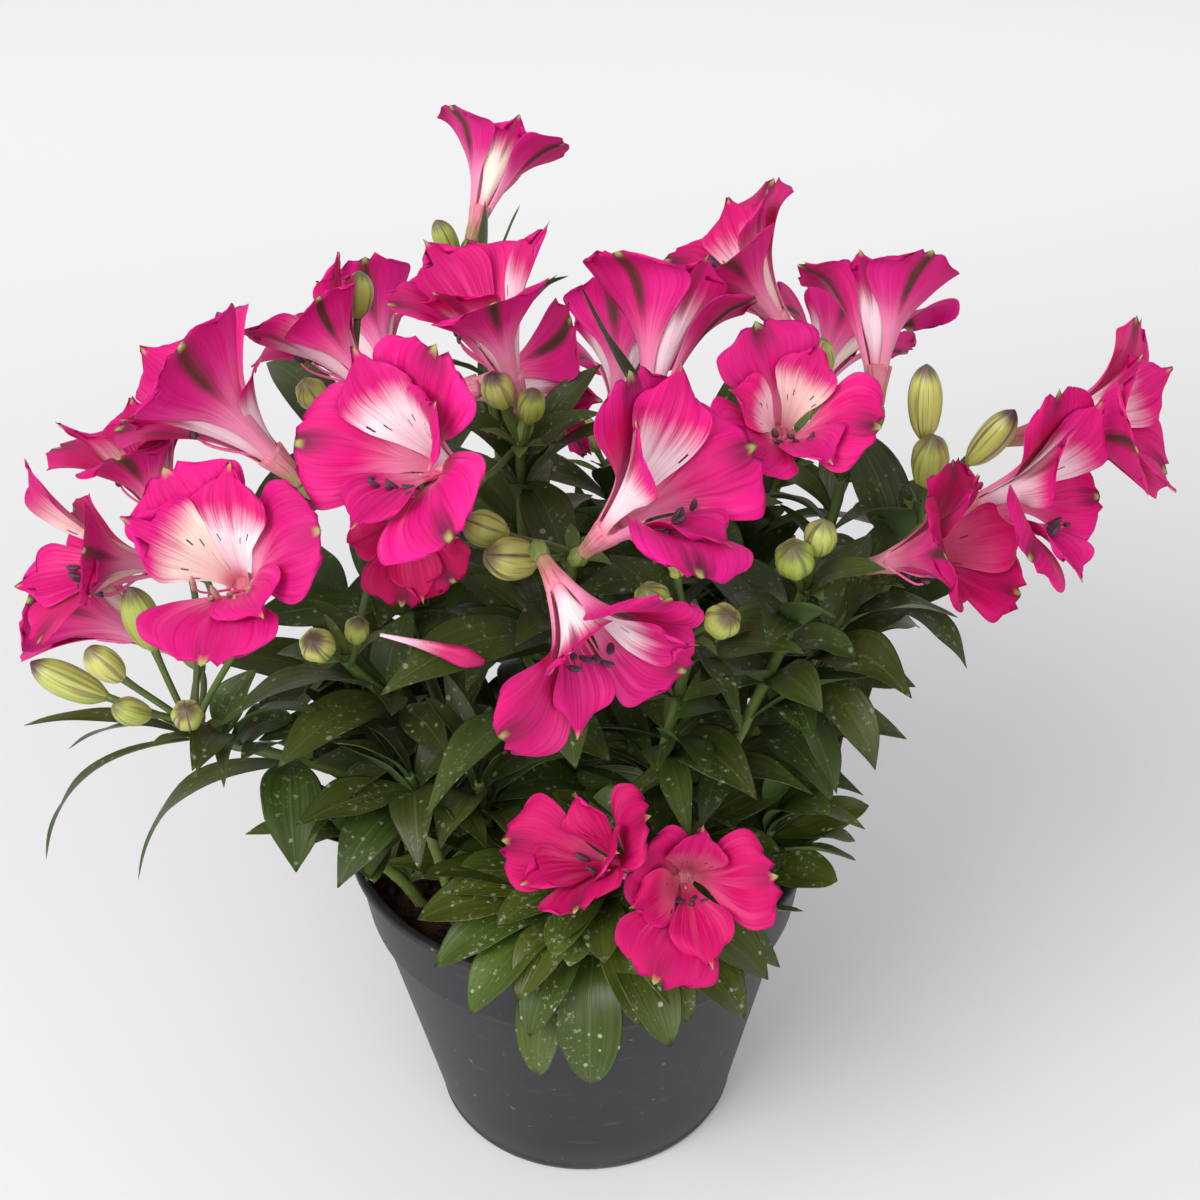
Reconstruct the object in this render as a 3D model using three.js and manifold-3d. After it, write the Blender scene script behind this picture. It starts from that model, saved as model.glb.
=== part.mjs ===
// A Peruvian lily in a 17 cm nursery pot: leafy stems that stand in the potting soil,
// pink blooms with six tepals each, striped buds and a low rosette over the front rim.
// Millimetres, +Z up. The origin is the middle of the pot's underside.
import * as THREE from "three";
import { mergeVertices } from "three/addons/utils/BufferGeometryUtils.js";
import Module from "manifold-3d";

const wasm = await Module();
wasm.setup();

// Pot
const POT_HEIGHT = 126;
const RIM_RADIUS = 85;
const LIP_RADIUS = 83.2;
const LIP_HEIGHT = 3;
const COLLAR_FOOT_Z = 97;
const COLLAR_FOOT_RADIUS = 79.5;
const BODY_TOP_RADIUS = 77;
const BASE_RADIUS = 56;
const FOOT_RING_HEIGHT = 3;
const FOOT_RING_FLARE = 1.2;
const FOOT_RING_STEP = 0.8;
const COLLAR_SLOPE = 3;
const LIP_CHAMFER = 0.6;
const SHOULDER_Z = COLLAR_FOOT_Z - COLLAR_SLOPE - 1;
const POT_WALL = 2;
const POT_FLOOR = 2.4;
const POT_SIDES = 30;
const DRAIN_HOLES = 6;
const DRAIN_RADIUS = 5;
const DRAIN_SIDES = 6;
const DRAIN_CIRCLE = 38;

// Soil
const SOIL_LEVEL = 115;
const SOIL_GAP = 0.4;
const SOIL_RINGS = [0.55, 1];
const SOIL_BUMP = 2.2;
const HEAP_HEIGHT = 13;
const HEAP_ANGLE = 5;
const HEAP_SPREAD = 26;
const STEM_SOCKET_GAP = 0.4;

// Stems, leaves and blooms
const STEM_FOOT_Z = 94;
const STEM_RADIUS = 2.5;
const STEM_TOP_RADIUS = 1.7;
const STEM_SIDES = 5;
const STEM_STEP = 46;
const STEM_FOOT_SHARE = 0.004;
const HEAD_SHARE = 0.985;
const PEDICEL_RADIUS = 1.1;
const STRAIGHT_STALK = 36;
const LEAF_THICKNESS = 1.1;
const TEPAL_THICKNESS = 1;
const OUTER_BREADTH = 0.74;
const INNER_BREADTH = 0.46;
const FLARE_POWER = 1.7;
const THROAT_LENGTH = 13;
const THROAT_RADIUS = 4.8;
const THROAT_FOOT_RADIUS = 2.3;
const CLAW_START = 9;
const OUTER_CLAW_RADIUS = 3.2;
const INNER_CLAW_RADIUS = 1.8;
const CLAW_ANGLE = 14;
const LIP_CROWN = 0.06;
const OVARY_LENGTH = 9;
const OVARY_RADIUS = 2.9;
const OVARY_START = 0.3;
const BUD_START = 0.12;
const BUD_LIFT = 0.25;
const BLOOM_SEAT_GAP = 0.35;
const CLEARANCE = 0.35;
const SLIVER = 0.05;

const DEGREE = Math.PI / 180;
const GOLDEN_ANGLE = 137.5;
const UP = new THREE.Vector3(0, 0, 1);

// Leafy stems that carry flowers: the foot on the soil (x, y), two bends and the head.
const FLOWER_STEMS = {
  stem_left: [[-34, -24], [-40, -30, 168], [-80, -46, 188], [-127, -50, 206]],
  stem_left_short: [[-22, -8], [-28, -12, 170], [-60, -34, 200], [-75, -40, 228]],
  stem_tall: [[-6, 2], [-8, 4, 170], [-20, -5, 230], [-16, -8, 291]],
  stem_front: [[-12, -30], [-14, -34, 160], [-6, -44, 225], [1, -52, 277]],
  stem_front_right: [[14, -34], [16, -40, 150], [30, -62, 200], [37, -68, 257]],
  stem_mid_right: [[24, 4], [40, 6, 170], [84, 4, 210], [91, 10, 265]],
  stem_right: [[46, -4], [58, -6, 170], [100, -14, 210], [114, -15, 264]],
  stem_far_right: [[34, -22], [42, -30, 180], [70, -56, 220], [96, -40, 256]],
  stem_right_bud: [[30, -38], [34, -48, 170], [62, -64, 225], [72, -62, 270]],
  stem_top: [[-14, 34], [-16, 40, 180], [-28, 60, 240], [-31, 62, 314]],
  stem_rosette: [[4, -48], [4, -52, 120], [5, -66, 130], [7, -72, 148]],
  stem_left_back: [[-38, 12], [-44, 16, 170], [-70, 20, 220], [-75, 25, 276]],
  stem_middle: [[10, 18], [16, 18, 170], [38, 12, 220], [43, 10, 279]],
  stem_back_left: [[-34, 38], [-38, 46, 160], [-52, 78, 190], [-58, 90, 222]],
  stem_back_right: [[32, 40], [40, 50, 160], [68, 80, 190], [78, 88, 220]],
  stem_back: [[6, 54], [8, 64, 140], [12, 100, 170], [14, 114, 204]],
};

// Leafy shoots that carry no flower.
const LEAF_SHOOTS = {
  shoot_front_left: [[-26, -44], [-26, -50, 130], [-30, -58, 165], [-32, -62, 194]],
  shoot_left: [[-44, -38], [-44, -44, 140], [-52, -56, 170], [-55, -60, 196]],
  shoot_rim_left: [[-52, -30], [-58, -34, 128], [-70, -44, 146], [-79, -50, 156]],
  shoot_front_right: [[24, -54], [26, -56, 125], [28, -57, 138], [31, -57, 154]],
  shoot_rim_right: [[54, -28], [58, -32, 124], [63, -38, 140], [66, -42, 154]],
  shoot_side_left: [[-58, 14], [-64, 18, 130], [-80, 24, 160], [-92, 30, 186]],
  shoot_side_right: [[56, 24], [62, 26, 130], [78, 30, 160], [90, 34, 190]],
  shoot_back: [[-12, 58], [-14, 66, 130], [-20, 84, 150], [-26, 96, 172]],
};

// Blooms: the stem, the seat of the bloom, the heading and rise of its axis, and its size.
const BLOOMS = {
  bloom_left_front: ["stem_left", [-99, -62, 268], -95, 50, 1],
  bloom_centre_left: ["stem_tall", [-31, -45, 300], -125, 38, 1.05],
  bloom_left_upper: ["stem_left_back", [-85, -27, 288], 170, 46, 1.05],
  bloom_middle_upper: ["stem_tall", [-15, -8, 302], 170, 74, 1],
  bloom_top: ["stem_top", [-33, 60, 330], 60, 52, 0.9],
  bloom_centre_right: ["stem_front", [4, -72, 289], -30, 50, 1.1],
  bloom_right_upper: ["stem_mid_right", [76, 31, 303], 165, 53, 1],
  bloom_middle_tall: ["stem_middle", [24, -5, 291], 70, 54, 1.1],
  bloom_right_back: ["stem_mid_right", [102, 18, 287], 85, 50, 1],
  bloom_middle_right: ["stem_middle", [66, -16, 290], -85, 52, 1],
  bloom_far_right_front: ["stem_far_right", [121, -28, 274], -40, 29, 1.05],
  bloom_right_low: ["stem_far_right", [92, -45, 264], -30, 30, 0.9],
  bloom_far_right: ["stem_right", [141, -4, 286], -20, 22, 1],
  bloom_nodding: ["stem_front", [-8, -80, 292], -65, -14, 1],
  bloom_left_low: ["stem_left_short", [-51, -40, 298], -85, -12, 0.75],
  bloom_far_left_upper: ["stem_left", [-129, -15, 257], 145, 66, 0.9],
  bloom_far_left: ["stem_left", [-127, -23, 254], -155, 22, 0.9],
  bloom_far_left_low: ["stem_left", [-133, -15, 214], 160, 20, 0.9],
  bloom_left_back: ["stem_left_back", [-60, 6, 295], 145, 39, 0.95],
  bloom_middle_back: ["stem_tall", [-43, 14, 297], 15, 0, 0.95],
  bloom_rosette_left: ["stem_rosette", [20, -90, 176], -145, 49, 0.8],
  bloom_rosette_right: ["stem_rosette", [33, -85, 174], -85, 31, 0.8],
  bloom_back_left: ["stem_back_left", [-66, 112, 238], 118, 34, 0.95],
  bloom_back_right: ["stem_back_right", [88, 108, 236], 62, 30, 0.95],
  bloom_back: ["stem_back", [16, 132, 218], 84, 24, 0.95],
};

// Tepals of each bloom: the turn round its axis from straight up, the angle from the axis at
// the tip and the length.
const OUTER_TEPALS = {
  bloom_left_front: [[-75, 65, 52], [180, 70, 56], [35, 60, 52]],
  bloom_centre_left: [[105, 60, 52], [-15, 65, 56], [-120, 85, 58]],
  bloom_left_upper: [[-45, 50, 62], [90, 60, 56], [-175, 60, 54]],
  bloom_middle_upper: [[115, 70, 52], [-155, 55, 52], [-65, 60, 52]],
  bloom_top: [[-30, 55, 40], [95, 60, 40], [-140, 50, 38]],
  bloom_centre_right: [[-10, 55, 56], [-110, 60, 54], [135, 75, 58]],
  bloom_middle_tall: [[-20, 60, 56], [95, 45, 52], [-145, 60, 54]],
  bloom_right_upper: [[50, 60, 50], [-70, 70, 50], [165, 45, 46]],
  bloom_right_back: [[35, 55, 48], [-80, 55, 48], [160, 125, 54]],
  bloom_middle_right: [[20, 60, 46], [-115, 60, 46], [130, 60, 46]],
  bloom_right_low: [[-25, 70, 44], [-160, 55, 44], [70, 60, 48]],
  bloom_far_right_front: [[-5, 60, 56], [-115, 60, 40], [105, 70, 52]],
  bloom_far_right: [[-35, 65, 52], [-160, 65, 48], [85, 60, 52]],
  bloom_nodding: [[110, 80, 58], [-115, 70, 48], [-25, 70, 54]],
  bloom_left_low: [[-135, 50, 34], [170, 55, 36], [15, 50, 40]],
  bloom_far_left_upper: [[-160, 65, 48], [-50, 60, 48], [70, 60, 48]],
  bloom_far_left: [[70, 75, 36], [-55, 60, 44], [-155, 60, 48]],
  bloom_far_left_low: [[-60, 60, 52], [180, 50, 54], [60, 60, 48]],
  bloom_left_back: [[165, 60, 48], [95, 60, 46], [-25, 65, 40]],
  bloom_middle_back: [[20, 65, 46], [-110, 55, 52], [145, 60, 48]],
  bloom_rosette_left: [[125, 60, 44], [-35, 80, 40], [-130, 60, 42]],
  bloom_rosette_right: [[-80, 65, 44], [50, 55, 38], [150, 70, 48]],
  bloom_back_left: [[0, 60, 52], [120, 65, 52], [-120, 65, 52]],
  bloom_back_right: [[15, 60, 52], [135, 70, 50], [-105, 65, 52]],
  bloom_back: [[-10, 65, 54], [110, 60, 50], [-130, 70, 52]],
};
const INNER_TEPALS = {
  bloom_left_front: [[75, 50, 56], [-5, 55, 52], [-140, 50, 52]],
  bloom_centre_left: [[35, 55, 56], [-50, 40, 56], [-175, 50, 52]],
  bloom_left_upper: [[5, 70, 38], [130, 45, 62], [-110, 50, 56]],
  bloom_middle_upper: [[135, 50, 56], [-100, 45, 56], [25, 50, 56]],
  bloom_top: [[40, 50, 40], [160, 40, 38], [-75, 45, 38]],
  bloom_centre_right: [[-45, 55, 60], [45, 35, 62], [160, 55, 52]],
  bloom_middle_tall: [[180, 50, 52], [35, 45, 56], [-80, 50, 52]],
  bloom_right_upper: [[90, 55, 50], [-130, 45, 48], [-10, 50, 52]],
  bloom_right_back: [[-20, 50, 46], [100, 45, 46], [-140, 45, 46]],
  bloom_middle_right: [[80, 45, 42], [-30, 45, 42], [-160, 55, 46]],
  bloom_right_low: [[5, 40, 52], [115, 60, 40], [-110, 50, 48]],
  bloom_far_right_front: [[-45, 60, 56], [35, 35, 60], [145, 60, 52]],
  bloom_far_right: [[-85, 50, 52], [20, 50, 52], [145, 50, 52]],
  bloom_nodding: [[155, 50, 48], [40, 55, 52], [-70, 50, 52]],
  bloom_left_low: [[65, 60, 36], [-170, 45, 36], [-50, 50, 40]],
  bloom_far_left_upper: [[-105, 30, 52], [10, 50, 48], [130, 50, 48]],
  bloom_far_left: [[30, 55, 58], [-90, 70, 40], [145, 50, 48]],
  bloom_far_left_low: [[115, 60, 40], [0, 50, 48], [-120, 50, 48]],
  bloom_left_back: [[25, 50, 48], [145, 50, 48], [-95, 50, 48]],
  bloom_middle_back: [[85, 50, 48], [-155, 50, 48], [-35, 50, 48]],
  bloom_rosette_left: [[45, 40, 36], [170, 50, 42], [-70, 50, 42]],
  bloom_rosette_right: [[-10, 55, 42], [-170, 50, 44], [95, 50, 40]],
  bloom_back_left: [[45, 50, 50], [-45, 50, 50], [180, 60, 50]],
  bloom_back_right: [[60, 50, 50], [-30, 45, 50], [-165, 60, 50]],
  bloom_back: [[35, 50, 50], [-55, 50, 52], [170, 55, 50]],
};

// Buds: the stem, the tip of the bud, its length and its breadth.
const BUDS = [
  ["stem_left", [-176, -45, 233], 27, 11],
  ["stem_left", [-152, -62, 250], 17, 10],
  ["stem_left", [-147, -62, 228], 14, 9],
  ["stem_left", [-122, -72, 233], 13, 10],
  ["stem_left", [-137, -58, 270], 26, 11],
  ["stem_left_back", [-69, 38, 330], 16, 10],
  ["stem_left_back", [-85, 0, 309], 15, 10],
  ["stem_top", [-44, 55, 340], 17, 8],
  ["stem_tall", [-24, -20, 322], 16, 10],
  ["stem_tall", [-11, -24, 318], 15, 9],
  ["stem_front", [-33, -52, 289], 15, 11],
  ["stem_front", [-26, -66, 285], 19, 13],
  ["stem_left_short", [-82, -62, 252], 14, 11],
  ["stem_left_short", [-68, -52, 252], 11, 8],
  ["stem_right", [112, -15, 320], 25, 11],
  ["stem_right", [140, -20, 306], 24, 10],
  ["stem_right", [114, -27, 301], 22, 12],
  ["stem_mid_right", [80, 4, 320], 14, 9],
  ["stem_mid_right", [80, -4, 300], 13, 8],
  ["stem_right_bud", [66, -77, 293], 14, 12],
  ["stem_right_bud", [76, -68, 296], 13, 10],
  ["stem_front_right", [47, -86, 275], 12, 11],
  ["stem_front_right", [22, -80, 281], 13, 11],
  ["stem_front_right", [30, -64, 290], 15, 6],
  ["stem_back_left", [-78, 92, 248], 20, 10],
  ["stem_back_right", [98, 84, 246], 20, 10],
  ["stem_back", [2, 128, 224], 16, 9],
];

// Leaves that the front shows one by one: the stem, the place of the root along it,
// the tip, the breadth, the arch of the midrib and the roll of the blade in degrees.
const LEAVES = [
  ["stem_left", 0.97, [-179, -60, 162], 9, 16, 20],
  ["stem_left", 0.72, [-150, -58, 150], 13, 20, 10],
  ["stem_left", 0.78, [-92, -80, 172], 22, 14, -20],
  ["stem_left", 0.99, [-182, -46, 208], 7, 6, 0],
  ["stem_left", 0.96, [-172, -36, 190], 7, 8, 30],
  ["stem_left", 0.9, [-112, -78, 206], 9, 8, 40],
  ["stem_left_short", 0.88, [-112, -72, 226], 17, 10, 15],
  ["stem_left_short", 0.8, [-94, -78, 214], 18, 8, -15],
  ["stem_left_short", 0.62, [-86, -86, 190], 17, 8, 20],
  ["stem_front", 0.78, [-58, -92, 252], 18, 10, -25],
  ["stem_front", 0.6, [-47, -92, 204], 17, 14, 10],
  ["stem_front", 0.92, [-50, -30, 262], 14, 8, 20],
  ["stem_front", 0.86, [34, -92, 262], 15, 8, -20],
  ["stem_tall", 0.9, [12, 20, 301], 12, 6, 20],
  ["stem_tall", 0.8, [-46, 10, 276], 15, 8, -20],
  ["stem_top", 0.96, [-27, 48, 350], 14, -4, 60],
  ["stem_top", 0.86, [0, 40, 326], 11, 6, -30],
  ["stem_top", 0.92, [-16, 62, 342], 6, 2, 0],
  ["stem_top", 0.8, [-4, 62, 316], 7, 6, 10],
  ["stem_top", 0.6, [-6, 44, 268], 20, 8, 10],
  ["stem_middle", 0.7, [-6, -14, 268], 19, 8, 30],
  ["stem_middle", 0.95, [20, 34, 338], 9, -4, 20],
  ["stem_middle", 0.9, [70, 30, 314], 12, 5, 10],
  ["stem_far_right", 0.86, [122, -52, 249], 20, 9, -20],
  ["stem_far_right", 0.8, [104, -82, 240], 19, 10, 15],
  ["stem_far_right", 0.76, [96, -72, 204], 15, 10, 20],
  ["stem_far_right", 0.9, [118, -62, 266], 12, 6, 0],
  ["stem_far_right", 0.7, [82, -86, 206], 16, 10, -25],
  ["stem_front_right", 0.62, [56, -98, 214], 20, 12, 15],
  ["stem_front_right", 0.55, [80, -82, 210], 19, 9, -10],
  ["stem_front_right", 0.9, [70, -88, 262], 17, 7, 10],
  ["stem_right_bud", 0.94, [94, -78, 285], 12, 6, 20],
  ["stem_right_bud", 0.9, [58, -92, 268], 13, 6, -20],
  ["stem_right", 0.8, [130, -34, 216], 12, 8, 0],
  ["stem_right", 0.66, [120, 4, 206], 17, 10, 10],
  ["shoot_front_left", 0.9, [-44, -86, 186], 16, 10, 10],
  ["shoot_front_left", 0.8, [-16, -92, 190], 14, 8, -10],
  ["shoot_front_left", 1, [-30, -60, 224], 11, -2, 0],
  ["shoot_front_left", 0.98, [-12, -64, 216], 10, 4, 0],
  ["shoot_front_left", 0.96, [-48, -58, 226], 12, 4, 0],
  ["shoot_left", 0.9, [-50, -96, 186], 16, 12, 20],
  ["shoot_left", 0.84, [-94, -86, 200], 18, 10, -15],
  ["shoot_rim_left", 0.86, [-66, -86, 172], 15, 8, 0],
  ["shoot_rim_left", 0.8, [-98, -72, 166], 17, 8, 10],
  ["shoot_rim_left", 1, [-88, -80, 182], 20, 8, -10],
  ["stem_rosette", 0.95, [-53, -86, 156], 21, 9, 0],
  ["stem_rosette", 0.98, [-43, -72, 162], 19, 8, 0],
  ["stem_rosette", 0.99, [-38, -60, 172], 19, 7, 0],
  ["stem_rosette", 0.9, [-36, -106, 132], 22, 12, 10],
  ["stem_rosette", 0.97, [-24, -100, 160], 18, 8, 10],
  ["stem_rosette", 0.86, [-18, -110, 132], 19, 12, 0],
  ["stem_rosette", 0.78, [-15, -101, 98], 20, 16, 0],
  ["stem_rosette", 0.84, [-4, -106, 100], 22, 18, 0],
  ["stem_rosette", 1, [-3, -104, 158], 16, 6, 0],
  ["stem_rosette", 0.95, [20, -110, 144], 19, 10, 0],
  ["stem_rosette", 0.8, [22, -102, 112], 25, 14, 0],
  ["stem_rosette", 0.88, [54, -102, 124], 25, 12, -10],
  ["stem_rosette", 0.93, [62, -94, 134], 25, 12, -10],
  ["stem_rosette", 0.8, [64, -88, 122], 20, 12, 0],
  ["stem_rosette", 0.98, [58, -74, 152], 21, 8, 0],
  ["shoot_front_right", 0.9, [68, -56, 158], 18, 6, 0],
  ["shoot_front_right", 1, [57, -48, 178], 20, 4, 10],
  ["shoot_front_right", 0.98, [40, -62, 188], 15, 3, 0],
  ["shoot_front_right", 1, [14, -52, 203], 16, 2, 0],
  ["shoot_front_right", 0.97, [0, -54, 200], 16, 3, 0],
  ["shoot_front_right", 0.95, [9, -66, 190], 13, 3, 0],
  ["shoot_rim_right", 0.9, [84, -60, 176], 18, 8, 0],
  ["shoot_rim_right", 1, [80, -66, 200], 17, 8, 0],
];

// Stems low in the pot, with broad oval leaves.
const OVAL_LEAVES = ["stem_rosette", "shoot_front_right", "shoot_rim_right", "shoot_rim_left"];

// Leaves that follow up a stem in a spiral: how many, from where to where along it,
// the length and the breadth.
const SPIRALS = {
  stem_left: [1, 0.4, 0.62, 58, 19],
  stem_left_short: [2, 0.5, 0.8, 55, 18],
  stem_tall: [3, 0.45, 0.95, 62, 17],
  stem_front: [2, 0.4, 0.7, 60, 18],
  stem_front_right: [1, 0.6, 0.8, 52, 18],
  stem_mid_right: [4, 0.4, 0.97, 60, 18],
  stem_right: [4, 0.4, 0.97, 60, 18],
  stem_far_right: [2, 0.4, 0.7, 60, 19],
  stem_right_bud: [2, 0.45, 0.75, 56, 18],
  stem_top: [3, 0.45, 0.8, 64, 16],
  stem_left_back: [4, 0.4, 0.97, 62, 18],
  stem_middle: [3, 0.4, 0.85, 60, 17],
  stem_back_left: [5, 0.4, 0.98, 62, 20],
  stem_back_right: [5, 0.4, 0.98, 62, 20],
  stem_back: [5, 0.4, 0.98, 58, 20],
  shoot_front_left: [2, 0.5, 0.8, 40, 15],
  shoot_left: [3, 0.5, 1, 46, 17],
  shoot_rim_left: [1, 0.8, 1, 38, 16],
  shoot_front_right: [1, 0.85, 1, 38, 16],
  shoot_rim_right: [2, 0.8, 1, 42, 17],
  shoot_side_left: [4, 0.5, 1, 56, 20],
  shoot_side_right: [4, 0.5, 1, 56, 20],
  shoot_back: [4, 0.5, 1, 52, 20],
};

// Rows of a leaf: place along the midrib and share of the half breadth.
const LONG_LEAF_ROWS = [[0.26, 0.74], [0.52, 1], [0.78, 0.68]];
const OVAL_LEAF_ROWS = [[0.34, 0.7], [0.62, 1], [0.86, 0.72]];
const SMALL_LEAF_ROWS = [[0.36, 0.95], [0.7, 0.84]];
const NARROW_LEAF = 16;
const LEAF_FOLD = 0.22;
const LEAF_FREE_FROM = 0.25;

// Where a blade would cross its neighbour it is bent clear: turn, lift and share of length.
const BENDS = [
  [0, 0, 1], [10, 0, 1], [-10, 0, 1], [0, 10, 1], [0, -10, 1],
  [14, 14, 1], [-14, 14, 1], [14, -14, 0.95], [-14, -14, 0.95],
  [26, 0, 0.95], [-26, 0, 0.95], [0, 24, 0.95], [0, -24, 0.9],
  [24, 22, 0.9], [-24, 22, 0.9], [24, -22, 0.85], [-24, -22, 0.85],
  [44, 0, 0.85], [-44, 0, 0.85], [0, 40, 0.8], [40, 34, 0.8], [-40, 34, 0.8],
  [64, 10, 0.75], [-64, 10, 0.75], [90, 0, 0.7], [-90, 0, 0.7],
  [0, 0, 0.7], [30, 20, 0.6], [-30, 20, 0.6], [0, -20, 0.55], [120, 20, 0.6], [-120, 20, 0.6],
];

// A stalk bows aside where it would cross its neighbour.
const BOWS = [
  [0, 0, 2], [6, 0, 0], [-6, 0, 0], [0, 6, 0], [0, -6, 0], [0, 0, -6], [0, 0, 10],
  [12, 0, 0], [-12, 0, 0], [0, 12, 0], [0, -12, 0],
  [10, 10, 0], [-10, 10, 0], [-10, -10, 0], [10, -10, 0],
];

// A tepal closes or opens by so many degrees, and shortens, to pass its neighbour.
const FOLDS = [
  [0, 1], [-8, 1], [8, 1], [-16, 1], [14, 0.95], [-24, 0.95], [-32, 0.9],
  [0, 0.88], [-16, 0.85], [-40, 0.85], [-8, 0.75], [-30, 0.7], [-45, 0.65], [0, 0.6], [-30, 0.5],
];

// Rows of a tepal from the claw to the lip: place, share of the half breadth, cupping.
const OUTER_ROWS = [[0, 0, 0], [0.34, 0.24, 0.1], [0.64, 0.76, 0.14], [0.83, 1, 0.06], [0.94, 0.7, 0]];
const INNER_ROWS = [[0, 0, 0], [0.4, 0.42, 0.3], [0.75, 1, 0.22], [1, 0, 0]];
const EDGE_WAVE = 3;
const TEPAL_STEPS = 40;

const materials = {
  pot: new THREE.MeshStandardMaterial({ color: 0x45464a, roughness: 0.55, metalness: 0 }),
  soil: new THREE.MeshStandardMaterial({ color: 0x33211a, roughness: 0.95, metalness: 0 }),
  leaf: new THREE.MeshStandardMaterial({ color: 0x3f5a25, roughness: 0.5, metalness: 0 }),
  tepal: new THREE.MeshStandardMaterial({ color: 0xd81f6a, roughness: 0.5, metalness: 0 }),
};

// A number between 0 and 1 that depends only on its whole-number seed.
function draw(seed) {
  let a = (Math.imul(seed, 0x9e3779b1) + 0x6d2b79f5) | 0;
  a = Math.imul(a ^ (a >>> 15), a | 1);
  a ^= a + Math.imul(a ^ (a >>> 7), a | 61);
  return ((a ^ (a >>> 14)) >>> 0) / 4294967296;
}

function vector(p) {
  return new THREE.Vector3(p[0], p[1], p[2]);
}

function solidOf(geometry) {
  const bare = new THREE.BufferGeometry();
  bare.setAttribute("position", geometry.getAttribute("position"));
  bare.setIndex(geometry.index);
  const merged = mergeVertices(bare, 1e-4);
  return new wasm.Manifold(
    new wasm.Mesh({
      numProp: 3,
      vertProperties: new Float32Array(merged.getAttribute("position").array),
      triVerts: new Uint32Array(merged.index.array),
    }),
  );
}

function solidFrom(points, faces) {
  const geometry = new THREE.BufferGeometry();
  const numbers = points.flatMap((p) => [p.x, p.y, p.z]);
  geometry.setAttribute("position", new THREE.Float32BufferAttribute(numbers, 3));
  geometry.setIndex(faces);
  return solidOf(geometry);
}

// Joined solids, without slivers. Only the largest outer body stays: sealed hollows are
// filled and loose scraps dropped.
function fused(solids) {
  const pieces = wasm.Manifold.union(solids).simplify(SLIVER).decompose();
  return pieces.reduce((best, piece) => (piece.volume() > best.volume() ? piece : best));
}

function meshOf(name, solid, material) {
  const { vertProperties, triVerts } = solid.getMesh();
  const geometry = new THREE.BufferGeometry();
  geometry.setAttribute("position", new THREE.BufferAttribute(vertProperties, 3));
  geometry.setIndex(new THREE.BufferAttribute(triVerts, 1));
  const mesh = new THREE.Mesh(geometry, material);
  mesh.name = name;
  return mesh;
}

// A closed tube along a curve. Each ring gives its place along the curve and its radius;
// a radius of 0 at the end closes the tube in a point.
function tube(curve, rings, sides) {
  const points = [curve.getPointAt(rings[0][0])];
  const faces = [];
  const last = rings.length - 1;
  const normal = crossway(curve.getTangentAt(rings[0][0]));
  rings.forEach(([share, radius], i) => {
    const centre = curve.getPointAt(share);
    const tangent = curve.getTangentAt(share);
    normal.addScaledVector(tangent, -normal.dot(tangent)).normalize();
    const binormal = tangent.clone().cross(normal);
    const corners = i === last && radius === 0 ? 0 : sides;
    for (let k = 0; k < corners; k++) {
      const angle = (2 * Math.PI * k) / sides;
      const corner = centre.clone().addScaledVector(normal, Math.cos(angle) * radius);
      points.push(corner.addScaledVector(binormal, Math.sin(angle) * radius));
    }
  });
  const end = points.push(curve.getPointAt(rings[last][0])) - 1;
  const pointed = rings[last][1] === 0;
  const bands = pointed ? last - 1 : last;
  for (let k = 0; k < sides; k++) {
    const next = (k + 1) % sides;
    faces.push(0, 1 + next, 1 + k);
    faces.push(end, 1 + bands * sides + k, 1 + bands * sides + next);
    for (let i = 0; i < bands; i++) {
      const a = 1 + i * sides + k;
      const b = 1 + i * sides + next;
      faces.push(a, b, b + sides, a, b + sides, a + sides);
    }
  }
  return solidFrom(points, faces);
}

// A direction square to the given one.
function crossway(direction) {
  const axis = Math.abs(direction.z) < 0.8 ? UP : new THREE.Vector3(1, 0, 0);
  return axis.clone().cross(direction).normalize();
}

// A thin blade along a flat curve, with a root point. Each row gives its place along the
// midrib, half its breadth, how far its edges stand over the midrib and its thickness.
// The last row is a point (half 0), or a sharp edge whose middle stands out by the crown.
function blade(spine, side, rows, crown = 0) {
  const last = rows.length - 1;
  const pointed = rows[last].half === 0;
  const points = [spine.point(rows[0].s)];
  for (let i = 1; i <= last; i++) {
    const row = rows[i];
    if (i === last && pointed) {
      points.push(spine.point(row.s));
      break;
    }
    const normal = side.clone().cross(spine.tangent(row.s)).normalize();
    const centre = spine.point(i === last ? row.s + crown : row.s);
    const left = spine.point(row.s).addScaledVector(side, -row.half);
    const right = spine.point(row.s).addScaledVector(side, row.half);
    left.addScaledVector(normal, row.lift + (row.wave || 0));
    right.addScaledVector(normal, row.lift - (row.wave || 0));
    points.push(left, centre, right);
    if (i < last) {
      points.push(centre.clone().addScaledVector(normal, -row.thick));
    }
  }
  return solidFrom(points, bladeFaces(last, pointed));
}

// Both sides of the blade are split along the same diagonals, so they never cross.
function bladeFaces(last, pointed) {
  const at = (i, k) => 1 + (i - 1) * 4 + (i === last && k === 3 ? 1 : k);
  const faces = [0, at(1, 1), at(1, 0), 0, at(1, 2), at(1, 1)];
  faces.push(0, at(1, 0), at(1, 3), 0, at(1, 3), at(1, 2));
  const lastQuad = pointed ? last - 1 : last;
  for (let i = 1; i < lastQuad; i++) {
    const [l, c, r, b] = [0, 1, 2, 3].map((k) => at(i, k));
    const [l2, c2, r2, b2] = [0, 1, 2, 3].map((k) => at(i + 1, k));
    faces.push(l, c, c2, l, c2, l2, c, r, r2, c, r2, c2);
    faces.push(l, b2, b, l, l2, b2, b, r2, r, b, b2, r2);
  }
  if (pointed) {
    const [l, c, r, b] = [0, 1, 2, 3].map((k) => at(last - 1, k));
    const tip = at(last, 0);
    faces.push(l, c, tip, c, r, tip, b, l, tip, r, b, tip);
  }
  return faces;
}

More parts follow.
